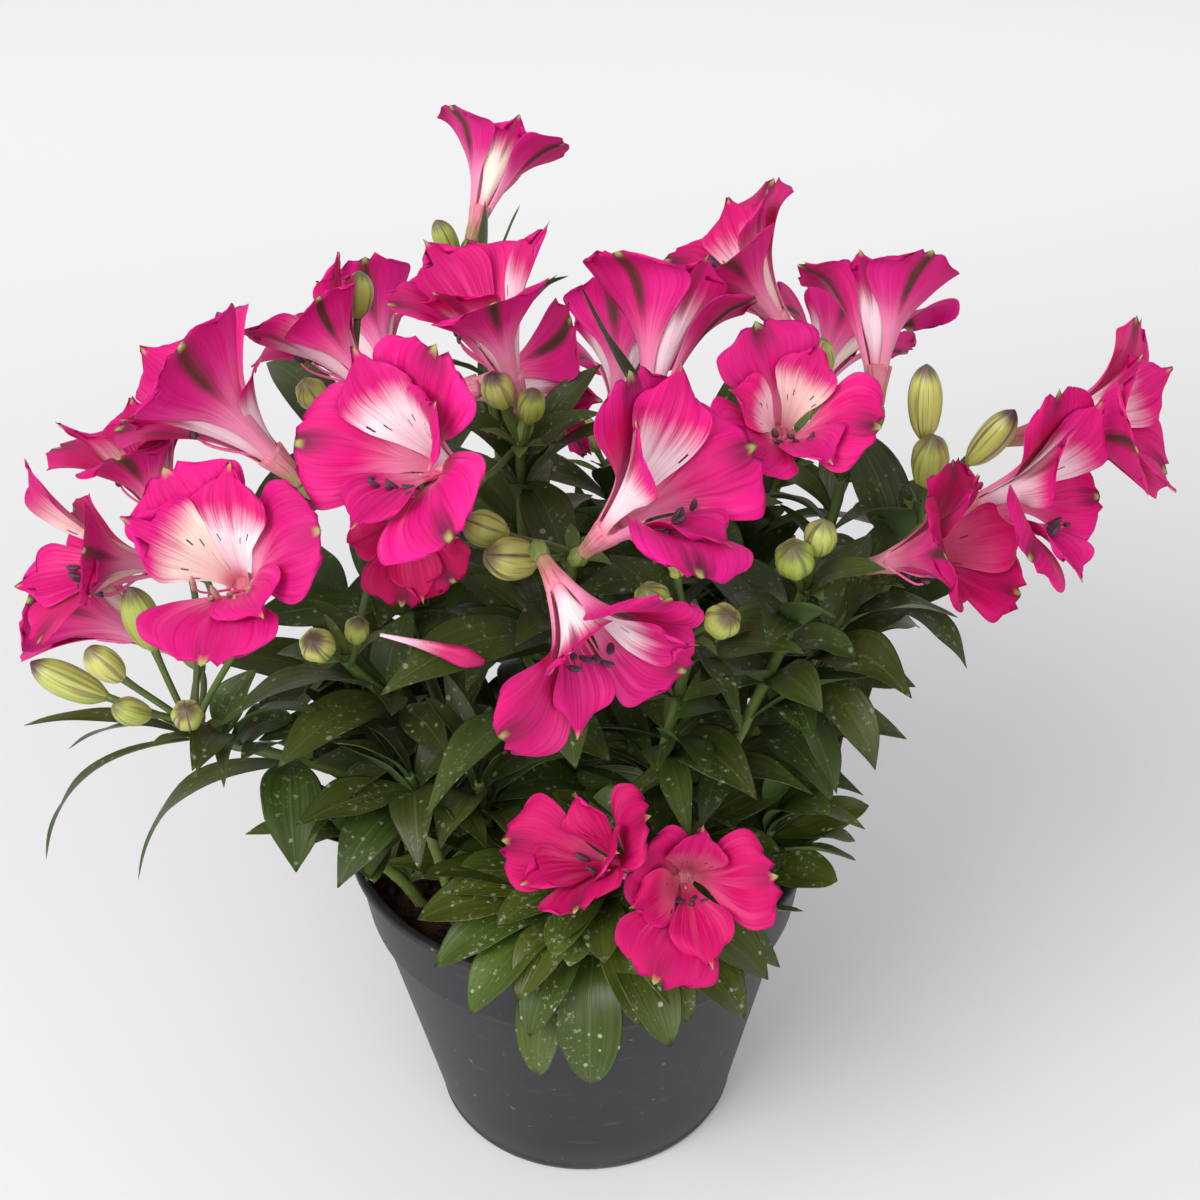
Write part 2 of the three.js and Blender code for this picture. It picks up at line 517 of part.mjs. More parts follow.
function stemCurve(row) {
  const [foot, low, high, head] = row;
  return new THREE.CubicBezierCurve3(
    new THREE.Vector3(foot[0], foot[1], STEM_FOOT_Z),
    vector(low),
    vector(high),
    vector(head),
  );
}

// Solids placed so far, by node, with their bounds.
const placed = [];

function boundsOf(solid) {
  const { min, max } = solid.boundingBox();
  return new THREE.Box3(vector(min), vector(max));
}

function place(node, solid) {
  placed.push({ node, solid, box: boundsOf(solid) });
  return solid;
}

function isClear(solid, test) {
  const box = boundsOf(solid);
  return placed.every(
    (other) => !test(other) || !other.box.intersectsBox(box) || solid.intersect(other.solid).isEmpty(),
  );
}

// Pot
function potProfile() {
  const inner = (radius) => radius - POT_WALL;
  return [
    [0, 0],
    [BASE_RADIUS, 0],
    [BASE_RADIUS + FOOT_RING_FLARE, FOOT_RING_HEIGHT],
    [BASE_RADIUS + FOOT_RING_STEP, FOOT_RING_HEIGHT + FOOT_RING_STEP],
    [BODY_TOP_RADIUS, COLLAR_FOOT_Z - COLLAR_SLOPE],
    [COLLAR_FOOT_RADIUS, COLLAR_FOOT_Z],
    [LIP_RADIUS, POT_HEIGHT - LIP_HEIGHT - LIP_CHAMFER],
    [RIM_RADIUS, POT_HEIGHT - LIP_HEIGHT],
    [RIM_RADIUS, POT_HEIGHT],
    [inner(LIP_RADIUS), POT_HEIGHT - LIP_CHAMFER],
    [inner(COLLAR_FOOT_RADIUS), COLLAR_FOOT_Z - 1],
    [inner(BODY_TOP_RADIUS), SHOULDER_Z],
    [inner(BASE_RADIUS), POT_FLOOR],
    [0, POT_FLOOR],
  ];
}

function innerRadius(z) {
  const wall = potProfile().slice(9, 13);
  for (let i = 0; i < wall.length - 1; i++) {
    const [upper, lower] = [wall[i], wall[i + 1]];
    if (z >= lower[1]) {
      return lower[0] + ((upper[0] - lower[0]) * (z - lower[1])) / (upper[1] - lower[1]);
    }
  }
  return wall[wall.length - 1][0];
}

function turned(profile, sides) {
  const geometry = new THREE.LatheGeometry(profile.map(([r, z]) => new THREE.Vector2(r, z)), sides);
  return solidOf(geometry.rotateX(90 * DEGREE));
}

function makePot() {
  let pot = turned(potProfile(), POT_SIDES);
  for (let i = 0; i < DRAIN_HOLES; i++) {
    const angle = ((i + 0.5) * 2 * Math.PI) / DRAIN_HOLES;
    const hole = new THREE.CylinderGeometry(DRAIN_RADIUS, DRAIN_RADIUS, 4 * POT_FLOOR, DRAIN_SIDES);
    hole.rotateX(90 * DEGREE);
    hole.translate(Math.cos(angle) * DRAIN_CIRCLE, Math.sin(angle) * DRAIN_CIRCLE, 0);
    pot = pot.subtract(solidOf(hole));
  }
  return pot;
}

// Soil: fills the pot to below its rim, uneven on top, heaped up at the right.
function soilTop(radius, angle, ring, k) {
  const bump = (draw(500 + ring * 97 + k) - 0.5) * 2 * SOIL_BUMP;
  const off = ((angle / DEGREE - HEAP_ANGLE + 540) % 360) - 180;
  const heap = HEAP_HEIGHT * Math.exp(-((off / HEAP_SPREAD) ** 2)) * (radius / RIM_RADIUS) ** 6;
  return SOIL_LEVEL + bump + heap;
}

function makeSoil(curves) {
  const sides = POT_SIDES / 2;
  const points = [new THREE.Vector3(0, 0, POT_FLOOR + SOIL_GAP), new THREE.Vector3(0, 0, SOIL_LEVEL)];
  const faces = [];
  const inset = SOIL_GAP + RIM_RADIUS * (1 - Math.cos(Math.PI / POT_SIDES));
  const ring = (radius, zOf) => {
    const first = points.length;
    for (let k = 0; k < sides; k++) {
      const angle = (k * 2 * Math.PI) / sides;
      points.push(new THREE.Vector3(Math.cos(angle) * radius, Math.sin(angle) * radius, zOf(angle, k)));
    }
    return first;
  };
  const link = (low, high) => {
    for (let k = 0; k < sides; k++) {
      const n = (k + 1) % sides;
      faces.push(low + k, low + n, high + n, low + k, high + n, high + k);
    }
  };
  const bottom = ring(innerRadius(POT_FLOOR) - inset, () => POT_FLOOR + SOIL_GAP);
  const shoulder = ring(innerRadius(SHOULDER_Z) - inset, () => SHOULDER_Z);
  link(bottom, shoulder);
  let outer = shoulder;
  const reach = innerRadius(SOIL_LEVEL - 2) - inset;
  for (const share of [...SOIL_RINGS].reverse()) {
    const radius = reach * share;
    const index = SOIL_RINGS.indexOf(share);
    const next = ring(radius, (angle, k) => soilTop(radius, angle, index, k));
    link(outer, next);
    outer = next;
  }
  for (let k = 0; k < sides; k++) {
    const n = (k + 1) % sides;
    faces.push(0, bottom + n, bottom + k, 1, outer + k, outer + n);
  }
  let soil = solidFrom(points, faces);
  for (const curve of curves) {
    soil = soil.subtract(stemTube(curve, STEM_SOCKET_GAP, 0));
  }
  return soil;
}

// Stems
function stemTube(curve, extra, from) {
  const steps = Math.max(3, Math.round(curve.getLength() / STEM_STEP));
  const rings = [];
  for (let i = 0; i <= steps; i++) {
    const share = from + ((1 - from) * i) / steps;
    rings.push([share, STEM_RADIUS + (STEM_TOP_RADIUS - STEM_RADIUS) * share + extra]);
  }
  return tube(curve, rings, STEM_SIDES);
}

// A flower stalk leaves the head of its stem and meets the bloom along the bloom's axis.
function stalkCurve(head, end, axis, bow) {
  const reach = head.distanceTo(end);
  const low = head.clone().lerp(end, 0.3).add(bow);
  const high = end.clone().addScaledVector(axis, -0.4 * reach);
  return new THREE.CubicBezierCurve3(head, low, high, end);
}

function stalk(node, head, end, axis, rings, sides) {
  let solid = null;
  for (const bow of BOWS) {
    const curve = stalkCurve(head, end, axis, vector(bow));
    const wide = tube(curve, rings.map(([share, r]) => [share, r + CLEARANCE]), sides);
    solid = tube(curve, rings, sides);
    if (isClear(wide, (other) => other.node !== node)) {
      return place(node, solid);
    }
  }
  return place(node, solid);
}

function bloomFrame(row) {
  const [, seat, heading, rise, size] = row;
  const flat = Math.cos(rise * DEGREE);
  const axis = new THREE.Vector3(
    flat * Math.cos(heading * DEGREE),
    flat * Math.sin(heading * DEGREE),
    Math.sin(rise * DEGREE),
  );
  const top = UP.clone().addScaledVector(axis, -UP.dot(axis)).normalize();
  return { seat: vector(seat), axis, top, size };
}

// Blooms
function tepalSpine(frame, part, out, length, open) {
  const from = CLAW_ANGLE * DEGREE;
  const to = open * DEGREE;
  const angleAt = (s) => from + (to - from) * s ** FLARE_POWER;
  const claw = part.outer ? OUTER_CLAW_RADIUS : INNER_CLAW_RADIUS;
  const start = frame.seat.clone().addScaledVector(frame.axis, CLAW_START * frame.size);
  const path = [start.addScaledVector(out, claw * frame.size)];
  for (let i = 1; i <= TEPAL_STEPS; i++) {
    const angle = angleAt((i - 0.5) / TEPAL_STEPS);
    const next = path[i - 1].clone();
    next.addScaledVector(frame.axis, (Math.cos(angle) * length) / TEPAL_STEPS);
    path.push(next.addScaledVector(out, (Math.sin(angle) * length) / TEPAL_STEPS));
  }
  return {
    point: (s) => path[Math.round(Math.min(1, s) * TEPAL_STEPS)].clone(),
    tangent: (s) => {
      const angle = angleAt(s);
      return frame.axis.clone().multiplyScalar(Math.cos(angle)).addScaledVector(out, Math.sin(angle));
    },
  };
}

function tepal(frame, part, fold, extra) {
  const turn = part.turn * DEGREE;
  const across = frame.axis.clone().cross(frame.top);
  const out = frame.top.clone().multiplyScalar(Math.cos(turn)).addScaledVector(across, Math.sin(turn));
  const spine = tepalSpine(frame, part, out, part.length * fold[1] + extra, part.open + fold[0]);
  const breadth = part.length * (part.outer ? OUTER_BREADTH : INNER_BREADTH);
  const half = (breadth / 2) * (0.5 + fold[1] / 2);
  const rows = (part.outer ? OUTER_ROWS : INNER_ROWS).map(([s, share, cup], i) => ({
    s,
    half: share > 0 ? share * half + extra : 0,
    lift: cup * half,
    thick: TEPAL_THICKNESS + 2 * extra,
    wave: (i % 2 ? 1 : -1) * part.wave * share,
  }));
  return blade(spine, out.clone().cross(frame.axis), rows, LIP_CROWN);
}

function tepalsOf(name, index) {
  const rows = [...OUTER_TEPALS[name], ...INNER_TEPALS[name]];
  return rows.map(([turn, open, length], k) => {
    const wave = EDGE_WAVE * (draw(index * 31 + k) - 0.3);
    return { turn, open, length, wave, outer: k < OUTER_TEPALS[name].length };
  });
}

function makeThroat(frame) {
  const end = frame.seat.clone().addScaledVector(frame.axis, THROAT_LENGTH * frame.size);
  const line = new THREE.LineCurve3(frame.seat, end);
  return tube(line, [[0, THROAT_FOOT_RADIUS], [1, THROAT_RADIUS * frame.size]], 6);
}

function makeBloom(name, row, throat, index) {
  const frame = bloomFrame(row);
  const solids = [throat];
  for (const part of tepalsOf(name, index)) {
    const fold = FOLDS.find((f) => {
      const wide = tepal(frame, part, f, CLEARANCE);
      return isClear(wide, (other) => other.node !== name);
    });
    if (fold) {
      solids.push(place(name, tepal(frame, part, fold, 0)));
    }
  }
  return fused(solids);
}

// Leaves
function leafSpine(root, tip, arch) {
  const chord = tip.clone().sub(root);
  const along = chord.clone().normalize();
  const side = along.clone().cross(UP);
  if (side.length() < 0.05) {
    side.set(1, 0, 0);
  }
  side.normalize();
  const normal = side.clone().cross(along);
  const bend = root.clone().addScaledVector(chord, 0.5).addScaledVector(normal, 2 * arch);
  const curve = new THREE.QuadraticBezierCurve3(root, bend, tip);
  return {
    side,
    point: (s) => curve.getPoint(s),
    tangent: (s) => curve.getTangent(s),
  };
}

function leafRows(half, outline, from, extra) {
  const rows = outline
    .filter(([s]) => s > from)
    .map(([s, share]) => ({
      s,
      half: share * half + extra,
      lift: LEAF_FOLD * share * half,
      thick: LEAF_THICKNESS + 2 * extra,
    }));
  return [{ s: from }, ...rows, { s: 1, half: 0 }];
}

function bentTip(root, tip, bend) {
  const reach = tip.clone().sub(root);
  reach.applyAxisAngle(UP, bend[0] * DEGREE);
  const level = new THREE.Vector3(reach.y, -reach.x, 0).normalize();
  const lean = Math.asin(Math.max(-1, Math.min(1, reach.z / reach.length())));
  const lift = Math.min(bend[1] * DEGREE, 85 * DEGREE - lean);
  reach.applyAxisAngle(level, lift);
  return root.clone().addScaledVector(reach, bend[2]);
}

function leaf(root, tip, shape, from, extra) {
  const spine = leafSpine(root, tip, shape.arch);
  const side = spine.side.applyAxisAngle(tip.clone().sub(root).normalize(), shape.roll * DEGREE);
  return blade(spine, side, leafRows(shape.width / 2, shape.outline, from, extra));
}

function addLeaf(node, solids, root, tip, shape) {
  const bend = BENDS.find((b) => {
    const bent = bentTip(root, tip, b);
    const whole = leaf(root, bent, shape, 0, CLEARANCE);
    if (!isClear(whole, (other) => other.node !== node)) {
      return false;
    }
    const outer = leaf(root, bent, shape, LEAF_FREE_FROM, CLEARANCE);
    return isClear(outer, (other) => other.node === node);
  });
  if (bend) {
    solids.push(place(node, leaf(root, bentTip(root, tip, bend), shape, 0, 0)));
  }
}

function addHandLeaves(node, solids, curve) {
  for (const [stem, share, tip, width, arch, roll] of LEAVES) {
    if (stem === node) {
      const broad = OVAL_LEAVES.includes(node) ? OVAL_LEAF_ROWS : LONG_LEAF_ROWS;
      const outline = width < NARROW_LEAF ? SMALL_LEAF_ROWS : broad;
      addLeaf(node, solids, curve.getPointAt(share), vector(tip), { width, arch, roll, outline });
    }
  }
}

function addSpiral(node, solids, curve, index) {
  const [count, from, to, length, width] = SPIRALS[node];
  for (let i = 0; i < count; i++) {
    const seed = 1000 + index * 50 + i * 4;
    const share = from + ((to - from) * (i + 0.5)) / count;
    const heading = (index * 71 + i * GOLDEN_ANGLE) * DEGREE;
    const rise = (5 + 45 * draw(seed) * share) * DEGREE;
    const reach = length * (0.8 + 0.35 * draw(seed + 1));
    const root = curve.getPointAt(share);
    const tip = root.clone().add(
      new THREE.Vector3(
        Math.cos(heading) * Math.cos(rise) * reach,
        Math.sin(heading) * Math.cos(rise) * reach,
        Math.sin(rise) * reach,
      ),
    );
    const arch = 4 + 8 * draw(seed + 2);
    const roll = 50 * (draw(seed + 3) - 0.5);
    addLeaf(node, solids, root, tip, { width, arch, roll, outline: SMALL_LEAF_ROWS });
  }
}

function addBuds(node, solids, head) {
  for (const [stem, tip, length, width] of BUDS) {
    if (stem !== node) {
      continue;
    }
    const end = vector(tip);
    const axis = end.clone().sub(head).normalize();
    axis.addScaledVector(UP, BUD_LIFT).normalize();
    const start = Math.max(BUD_START, 1 - length / head.distanceTo(end));
    const along = (share) => start + (1 - start) * share;
    const bend = head.distanceTo(end) > STRAIGHT_STALK ? [[along(0) / 2, PEDICEL_RADIUS]] : [];
    const rings = [
      [0, PEDICEL_RADIUS],
      ...bend,
      [along(0), PEDICEL_RADIUS + 0.3],
      [along(0.3), width * 0.44],
      [along(0.62), width * 0.5],
      [1, 0],
    ];
    solids.push(stalk(node, head, end, axis, rings, 5));
  }
}

function addOvaries(node, solids, head) {
  for (const row of Object.values(BLOOMS)) {
    if (row[0] !== node) {
      continue;
    }
    const frame = bloomFrame(row);
    const end = frame.seat.clone().addScaledVector(frame.axis, -BLOOM_SEAT_GAP);
    const start = Math.max(OVARY_START, 1 - OVARY_LENGTH / head.distanceTo(end));
    const bend = head.distanceTo(end) > STRAIGHT_STALK ? [[start / 2, PEDICEL_RADIUS]] : [];
    const rings = [
      [0, PEDICEL_RADIUS],
      ...bend,
      [start, PEDICEL_RADIUS],
      [(start + 1) / 2, OVARY_RADIUS],
      [1, OVARY_RADIUS * 0.85],
    ];
    solids.push(stalk(node, head, end, frame.axis, rings, 4));
  }
}

// The whole plant in its pot
const plant = new THREE.Group();
const stems = { ...FLOWER_STEMS, ...LEAF_SHOOTS };
const curves = {};
for (const [name, row] of Object.entries(stems)) {
  curves[name] = stemCurve(row);
}

const pot = makePot();
const soil = makeSoil(Object.values(curves));
place("pot", pot);
place("soil", soil);
plant.add(meshOf("pot", pot, materials.pot));
plant.add(meshOf("soil", soil, materials.soil));

const greens = {};
for (const [name, curve] of Object.entries(curves)) {
  const solid = stemTube(curve, 0, STEM_FOOT_SHARE);
  greens[name] = [place(name, solid)];
}
const throats = {};
for (const [name, row] of Object.entries(BLOOMS)) {
  throats[name] = place(name, makeThroat(bloomFrame(row)));
}
for (const name of Object.keys(FLOWER_STEMS)) {
  const head = curves[name].getPointAt(HEAD_SHARE);
  addOvaries(name, greens[name], head);
  addBuds(name, greens[name], head);
}
Object.entries(BLOOMS).forEach(([name, row], index) => {
  plant.add(meshOf(name, makeBloom(name, row, throats[name], index), materials.tepal));
});
for (const [name, curve] of Object.entries(curves)) {
  addHandLeaves(name, greens[name], curve);
}
Object.entries(curves).forEach(([name, curve], index) => {
  if (SPIRALS[name]) {
    addSpiral(name, greens[name], curve, index);
  }
});
for (const [name, solids] of Object.entries(greens)) {
  plant.add(meshOf(name, fused(solids), materials.leaf));
}

export default plant;
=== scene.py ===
import math

import bpy
import numpy as np
from mathutils import Matrix, Vector
from mathutils.bvhtree import BVHTree


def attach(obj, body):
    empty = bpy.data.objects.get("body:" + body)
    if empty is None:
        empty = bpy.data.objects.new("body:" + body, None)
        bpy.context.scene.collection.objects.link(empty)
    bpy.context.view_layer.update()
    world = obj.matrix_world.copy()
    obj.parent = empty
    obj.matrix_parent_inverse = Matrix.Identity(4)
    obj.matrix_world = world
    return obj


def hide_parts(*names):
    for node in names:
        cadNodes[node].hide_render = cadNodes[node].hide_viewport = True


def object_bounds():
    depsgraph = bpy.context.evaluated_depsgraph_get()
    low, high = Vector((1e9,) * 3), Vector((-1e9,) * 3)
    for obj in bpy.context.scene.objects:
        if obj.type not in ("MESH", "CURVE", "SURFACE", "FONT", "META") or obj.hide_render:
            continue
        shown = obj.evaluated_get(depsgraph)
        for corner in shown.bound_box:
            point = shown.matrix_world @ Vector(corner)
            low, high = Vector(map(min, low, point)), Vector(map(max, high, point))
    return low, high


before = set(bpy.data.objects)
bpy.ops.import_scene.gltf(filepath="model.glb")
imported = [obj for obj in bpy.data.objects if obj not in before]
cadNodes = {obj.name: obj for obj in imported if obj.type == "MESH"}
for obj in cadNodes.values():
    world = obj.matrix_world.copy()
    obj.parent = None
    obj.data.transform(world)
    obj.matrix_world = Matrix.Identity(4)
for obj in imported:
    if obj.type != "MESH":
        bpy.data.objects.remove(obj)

# A potted peruvian lily. Lengths in the lists are millimetres, scaled by mm when a mesh is made.
mm = 0.001
up = np.array([0.0, 0.0, 1.0])
cadBox = [list(corner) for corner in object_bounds()]

# Placement, in the same frame as the solids: a stem is its foot (x, y) and three points up to its head
flowerStems = {
    "stem_left": [[-34, -24], [-40, -30, 168], [-80, -46, 188], [-127, -50, 206]],
    "stem_left_short": [[-22, -8], [-28, -12, 170], [-60, -34, 200], [-75, -40, 228]],
    "stem_tall": [[-6, 2], [-8, 4, 170], [-20, -5, 230], [-16, -8, 291]],
    "stem_front": [[-12, -30], [-14, -34, 160], [-6, -44, 225], [1, -52, 277]],
    "stem_front_right": [[14, -34], [16, -40, 150], [30, -62, 200], [37, -68, 257]],
    "stem_mid_right": [[24, 4], [40, 6, 170], [84, 4, 210], [91, 10, 265]],
    "stem_right": [[46, -4], [58, -6, 170], [100, -14, 210], [114, -15, 264]],
    "stem_far_right": [[34, -22], [42, -30, 180], [70, -56, 220], [96, -40, 256]],
    "stem_right_bud": [[30, -38], [34, -48, 170], [62, -64, 225], [72, -62, 270]],
    "stem_top": [[-14, 34], [-16, 40, 180], [-28, 60, 240], [-31, 62, 314]],
    "stem_rosette": [[4, -48], [4, -52, 120], [5, -66, 130], [7, -72, 148]],
    "stem_left_back": [[-38, 12], [-44, 16, 170], [-70, 20, 220], [-75, 25, 276]],
    "stem_middle": [[10, 18], [16, 18, 170], [38, 12, 220], [43, 10, 279]],
    "stem_back_left": [[-34, 38], [-38, 46, 160], [-52, 78, 190], [-58, 90, 222]],
    "stem_back_right": [[32, 40], [40, 50, 160], [68, 80, 190], [78, 88, 220]],
    "stem_back": [[6, 54], [8, 64, 140], [12, 100, 170], [14, 114, 204]],
}

leafShoots = {
    "shoot_front_left": [[-26, -44], [-26, -50, 130], [-30, -58, 165], [-32, -62, 194]],
    "shoot_left": [[-44, -38], [-44, -44, 140], [-52, -56, 170], [-55, -60, 196]],
    "shoot_rim_left": [[-52, -30], [-58, -34, 128], [-70, -44, 146], [-79, -50, 156]],
    "shoot_front_right": [[24, -54], [26, -56, 125], [28, -57, 138], [31, -57, 154]],
    "shoot_rim_right": [[54, -28], [58, -32, 124], [63, -38, 140], [66, -42, 154]],
    "shoot_side_left": [[-58, 14], [-64, 18, 130], [-80, 24, 160], [-92, 30, 186]],
    "shoot_side_right": [[56, 24], [62, 26, 130], [78, 30, 160], [90, 34, 190]],
    "shoot_back": [[-12, 58], [-14, 66, 130], [-20, 84, 150], [-26, 96, 172]],
}

# stem, seat, heading, rise, size
blooms = {
    "bloom_left_front": ["stem_left", [-99, -62, 268], -95, 50, 1],
    "bloom_centre_left": ["stem_tall", [-31, -45, 300], -125, 38, 1.05],
    "bloom_left_upper": ["stem_left_back", [-85, -27, 288], 170, 46, 1.05],
    "bloom_middle_upper": ["stem_tall", [-15, -8, 302], 170, 74, 1],
    "bloom_top": ["stem_top", [-33, 60, 330], 60, 52, 0.9],
    "bloom_centre_right": ["stem_front", [4, -72, 289], -30, 50, 1.1],
    "bloom_right_upper": ["stem_mid_right", [76, 31, 303], 165, 53, 1],
    "bloom_middle_tall": ["stem_middle", [24, -5, 291], 70, 54, 1.1],
    "bloom_right_back": ["stem_mid_right", [102, 18, 287], 85, 50, 1],
    "bloom_middle_right": ["stem_middle", [66, -16, 290], -85, 52, 1],
    "bloom_far_right_front": ["stem_far_right", [121, -28, 274], -40, 29, 1.05],
    "bloom_right_low": ["stem_far_right", [92, -45, 264], -30, 30, 0.9],
    "bloom_far_right": ["stem_right", [141, -4, 286], -20, 22, 1],
    "bloom_nodding": ["stem_front", [-8, -80, 292], -65, -14, 1],
    "bloom_left_low": ["stem_left_short", [-51, -40, 298], -85, -12, 0.75],
    "bloom_far_left_upper": ["stem_left", [-129, -15, 257], 145, 66, 0.9],
    "bloom_far_left": ["stem_left", [-127, -23, 254], -155, 22, 0.9],
    "bloom_far_left_low": ["stem_left", [-133, -15, 214], 160, 20, 0.9],
    "bloom_left_back": ["stem_left_back", [-60, 6, 295], 145, 39, 0.95],
    "bloom_middle_back": ["stem_tall", [-43, 14, 297], 15, 0, 0.95],
    "bloom_rosette_left": ["stem_rosette", [20, -90, 176], -145, 49, 0.8],
    "bloom_rosette_right": ["stem_rosette", [33, -85, 174], -85, 31, 0.8],
    "bloom_back_left": ["stem_back_left", [-66, 112, 238], 118, 34, 0.95],
    "bloom_back_right": ["stem_back_right", [88, 108, 236], 62, 30, 0.95],
    "bloom_back": ["stem_back", [16, 132, 218], 84, 24, 0.95],
}

# turn round the bloom, how far it opens, length: three outer tepals, then three inner ones
tepals = {
    "bloom_left_front": [[-75, 65, 52], [180, 70, 56], [35, 60, 52],
                         [75, 50, 56], [-5, 55, 52], [-140, 50, 52]],
    "bloom_centre_left": [[105, 60, 52], [-15, 65, 56], [-120, 85, 58],
                          [35, 55, 56], [-50, 40, 56], [-175, 50, 52]],
    "bloom_left_upper": [[-45, 50, 62], [90, 60, 56], [-175, 60, 54],
                         [5, 70, 38], [130, 45, 62], [-110, 50, 56]],
    "bloom_middle_upper": [[115, 70, 52], [-155, 55, 52], [-65, 60, 52],
                           [135, 50, 56], [-100, 45, 56], [25, 50, 56]],
    "bloom_top": [[-30, 55, 40], [95, 60, 40], [-140, 50, 38], [40, 50, 40], [160, 40, 38], [-75, 45, 38]],
    "bloom_centre_right": [[-10, 55, 56], [-110, 60, 54], [135, 75, 58],
                           [-45, 55, 60], [45, 35, 62], [160, 55, 52]],
    "bloom_right_upper": [[50, 60, 50], [-70, 70, 50], [165, 45, 46],
                          [90, 55, 50], [-130, 45, 48], [-10, 50, 52]],
    "bloom_middle_tall": [[-20, 60, 56], [95, 45, 52], [-145, 60, 54],
                          [180, 50, 52], [35, 45, 56], [-80, 50, 52]],
    "bloom_right_back": [[35, 55, 48], [-80, 55, 48], [160, 125, 54],
                         [-20, 50, 46], [100, 45, 46], [-140, 45, 46]],
    "bloom_middle_right": [[20, 60, 46], [-115, 60, 46], [130, 60, 46],
                           [80, 45, 42], [-30, 45, 42], [-160, 55, 46]],
    "bloom_far_right_front": [[-5, 60, 56], [-115, 60, 40], [105, 70, 52],
                              [-45, 60, 56], [35, 35, 60], [145, 60, 52]],
    "bloom_right_low": [[-25, 70, 44], [-160, 55, 44], [70, 60, 48],
                        [5, 40, 52], [115, 60, 40], [-110, 50, 48]],
    "bloom_far_right": [[-35, 65, 52], [-160, 65, 48], [85, 60, 52],
                        [-85, 50, 52], [20, 50, 52], [145, 50, 52]],
    "bloom_nodding": [[110, 80, 58], [-115, 70, 48], [-25, 70, 54],
                      [155, 50, 48], [40, 55, 52], [-70, 50, 52]],
    "bloom_left_low": [[-135, 50, 34], [170, 55, 36], [15, 50, 40],
                       [65, 60, 36], [-170, 45, 36], [-50, 50, 40]],
    "bloom_far_left_upper": [[-160, 65, 48], [-50, 60, 48], [70, 60, 48],
                             [-105, 30, 52], [10, 50, 48], [130, 50, 48]],
    "bloom_far_left": [[70, 75, 36], [-55, 60, 44], [-155, 60, 48],
                       [30, 55, 58], [-90, 70, 40], [145, 50, 48]],
    "bloom_far_left_low": [[-60, 60, 52], [180, 50, 54], [60, 60, 48],
                           [115, 60, 40], [0, 50, 48], [-120, 50, 48]],
    "bloom_left_back": [[165, 60, 48], [95, 60, 46], [-25, 65, 40],
                        [25, 50, 48], [145, 50, 48], [-95, 50, 48]],
    "bloom_middle_back": [[20, 65, 46], [-110, 55, 52], [145, 60, 48],
                          [85, 50, 48], [-155, 50, 48], [-35, 50, 48]],
    "bloom_rosette_left": [[125, 60, 44], [-35, 80, 40], [-130, 60, 42],
                           [45, 40, 36], [170, 50, 42], [-70, 50, 42]],
    "bloom_rosette_right": [[-80, 65, 44], [50, 55, 38], [150, 70, 48],
                            [-10, 55, 42], [-170, 50, 44], [95, 50, 40]],
    "bloom_back_left": [[0, 60, 52], [120, 65, 52], [-120, 65, 52],
                        [45, 50, 50], [-45, 50, 50], [180, 60, 50]],
    "bloom_back_right": [[15, 60, 52], [135, 70, 50], [-105, 65, 52],
                         [60, 50, 50], [-30, 45, 50], [-165, 60, 50]],
    "bloom_back": [[-10, 65, 54], [110, 60, 50], [-130, 70, 52],
                   [35, 50, 50], [-55, 50, 52], [170, 55, 50]],
}

# tip, length, width
buds = {
    "stem_left": [[[-176, -45, 233], 27, 11], [[-152, -62, 250], 17, 10], [[-147, -62, 228], 14, 9],
        [[-122, -72, 233], 13, 10], [[-137, -58, 270], 26, 11]],
    "stem_left_back": [[[-69, 38, 330], 16, 10], [[-85, 0, 309], 15, 10]],
    "stem_top": [[[-44, 55, 340], 17, 8]],
    "stem_tall": [[[-24, -20, 322], 16, 10], [[-11, -24, 318], 15, 9]],
    "stem_front": [[[-33, -52, 289], 15, 11], [[-26, -66, 285], 19, 13]],
    "stem_left_short": [[[-82, -62, 252], 14, 11], [[-68, -52, 252], 11, 8]],
    "stem_right": [[[112, -15, 320], 25, 11], [[140, -20, 306], 24, 10], [[114, -27, 301], 22, 12]],
    "stem_mid_right": [[[80, 4, 320], 14, 9], [[80, -4, 300], 13, 8]],
    "stem_right_bud": [[[66, -77, 293], 14, 12], [[76, -68, 296], 13, 10]],
    "stem_front_right": [[[47, -86, 275], 12, 11], [[22, -80, 281], 13, 11], [[30, -64, 290], 15, 6]],
    "stem_back_left": [[[-78, 92, 248], 20, 10]],
    "stem_back_right": [[[98, 84, 246], 20, 10]],
    "stem_back": [[[2, 128, 224], 16, 9]],
}

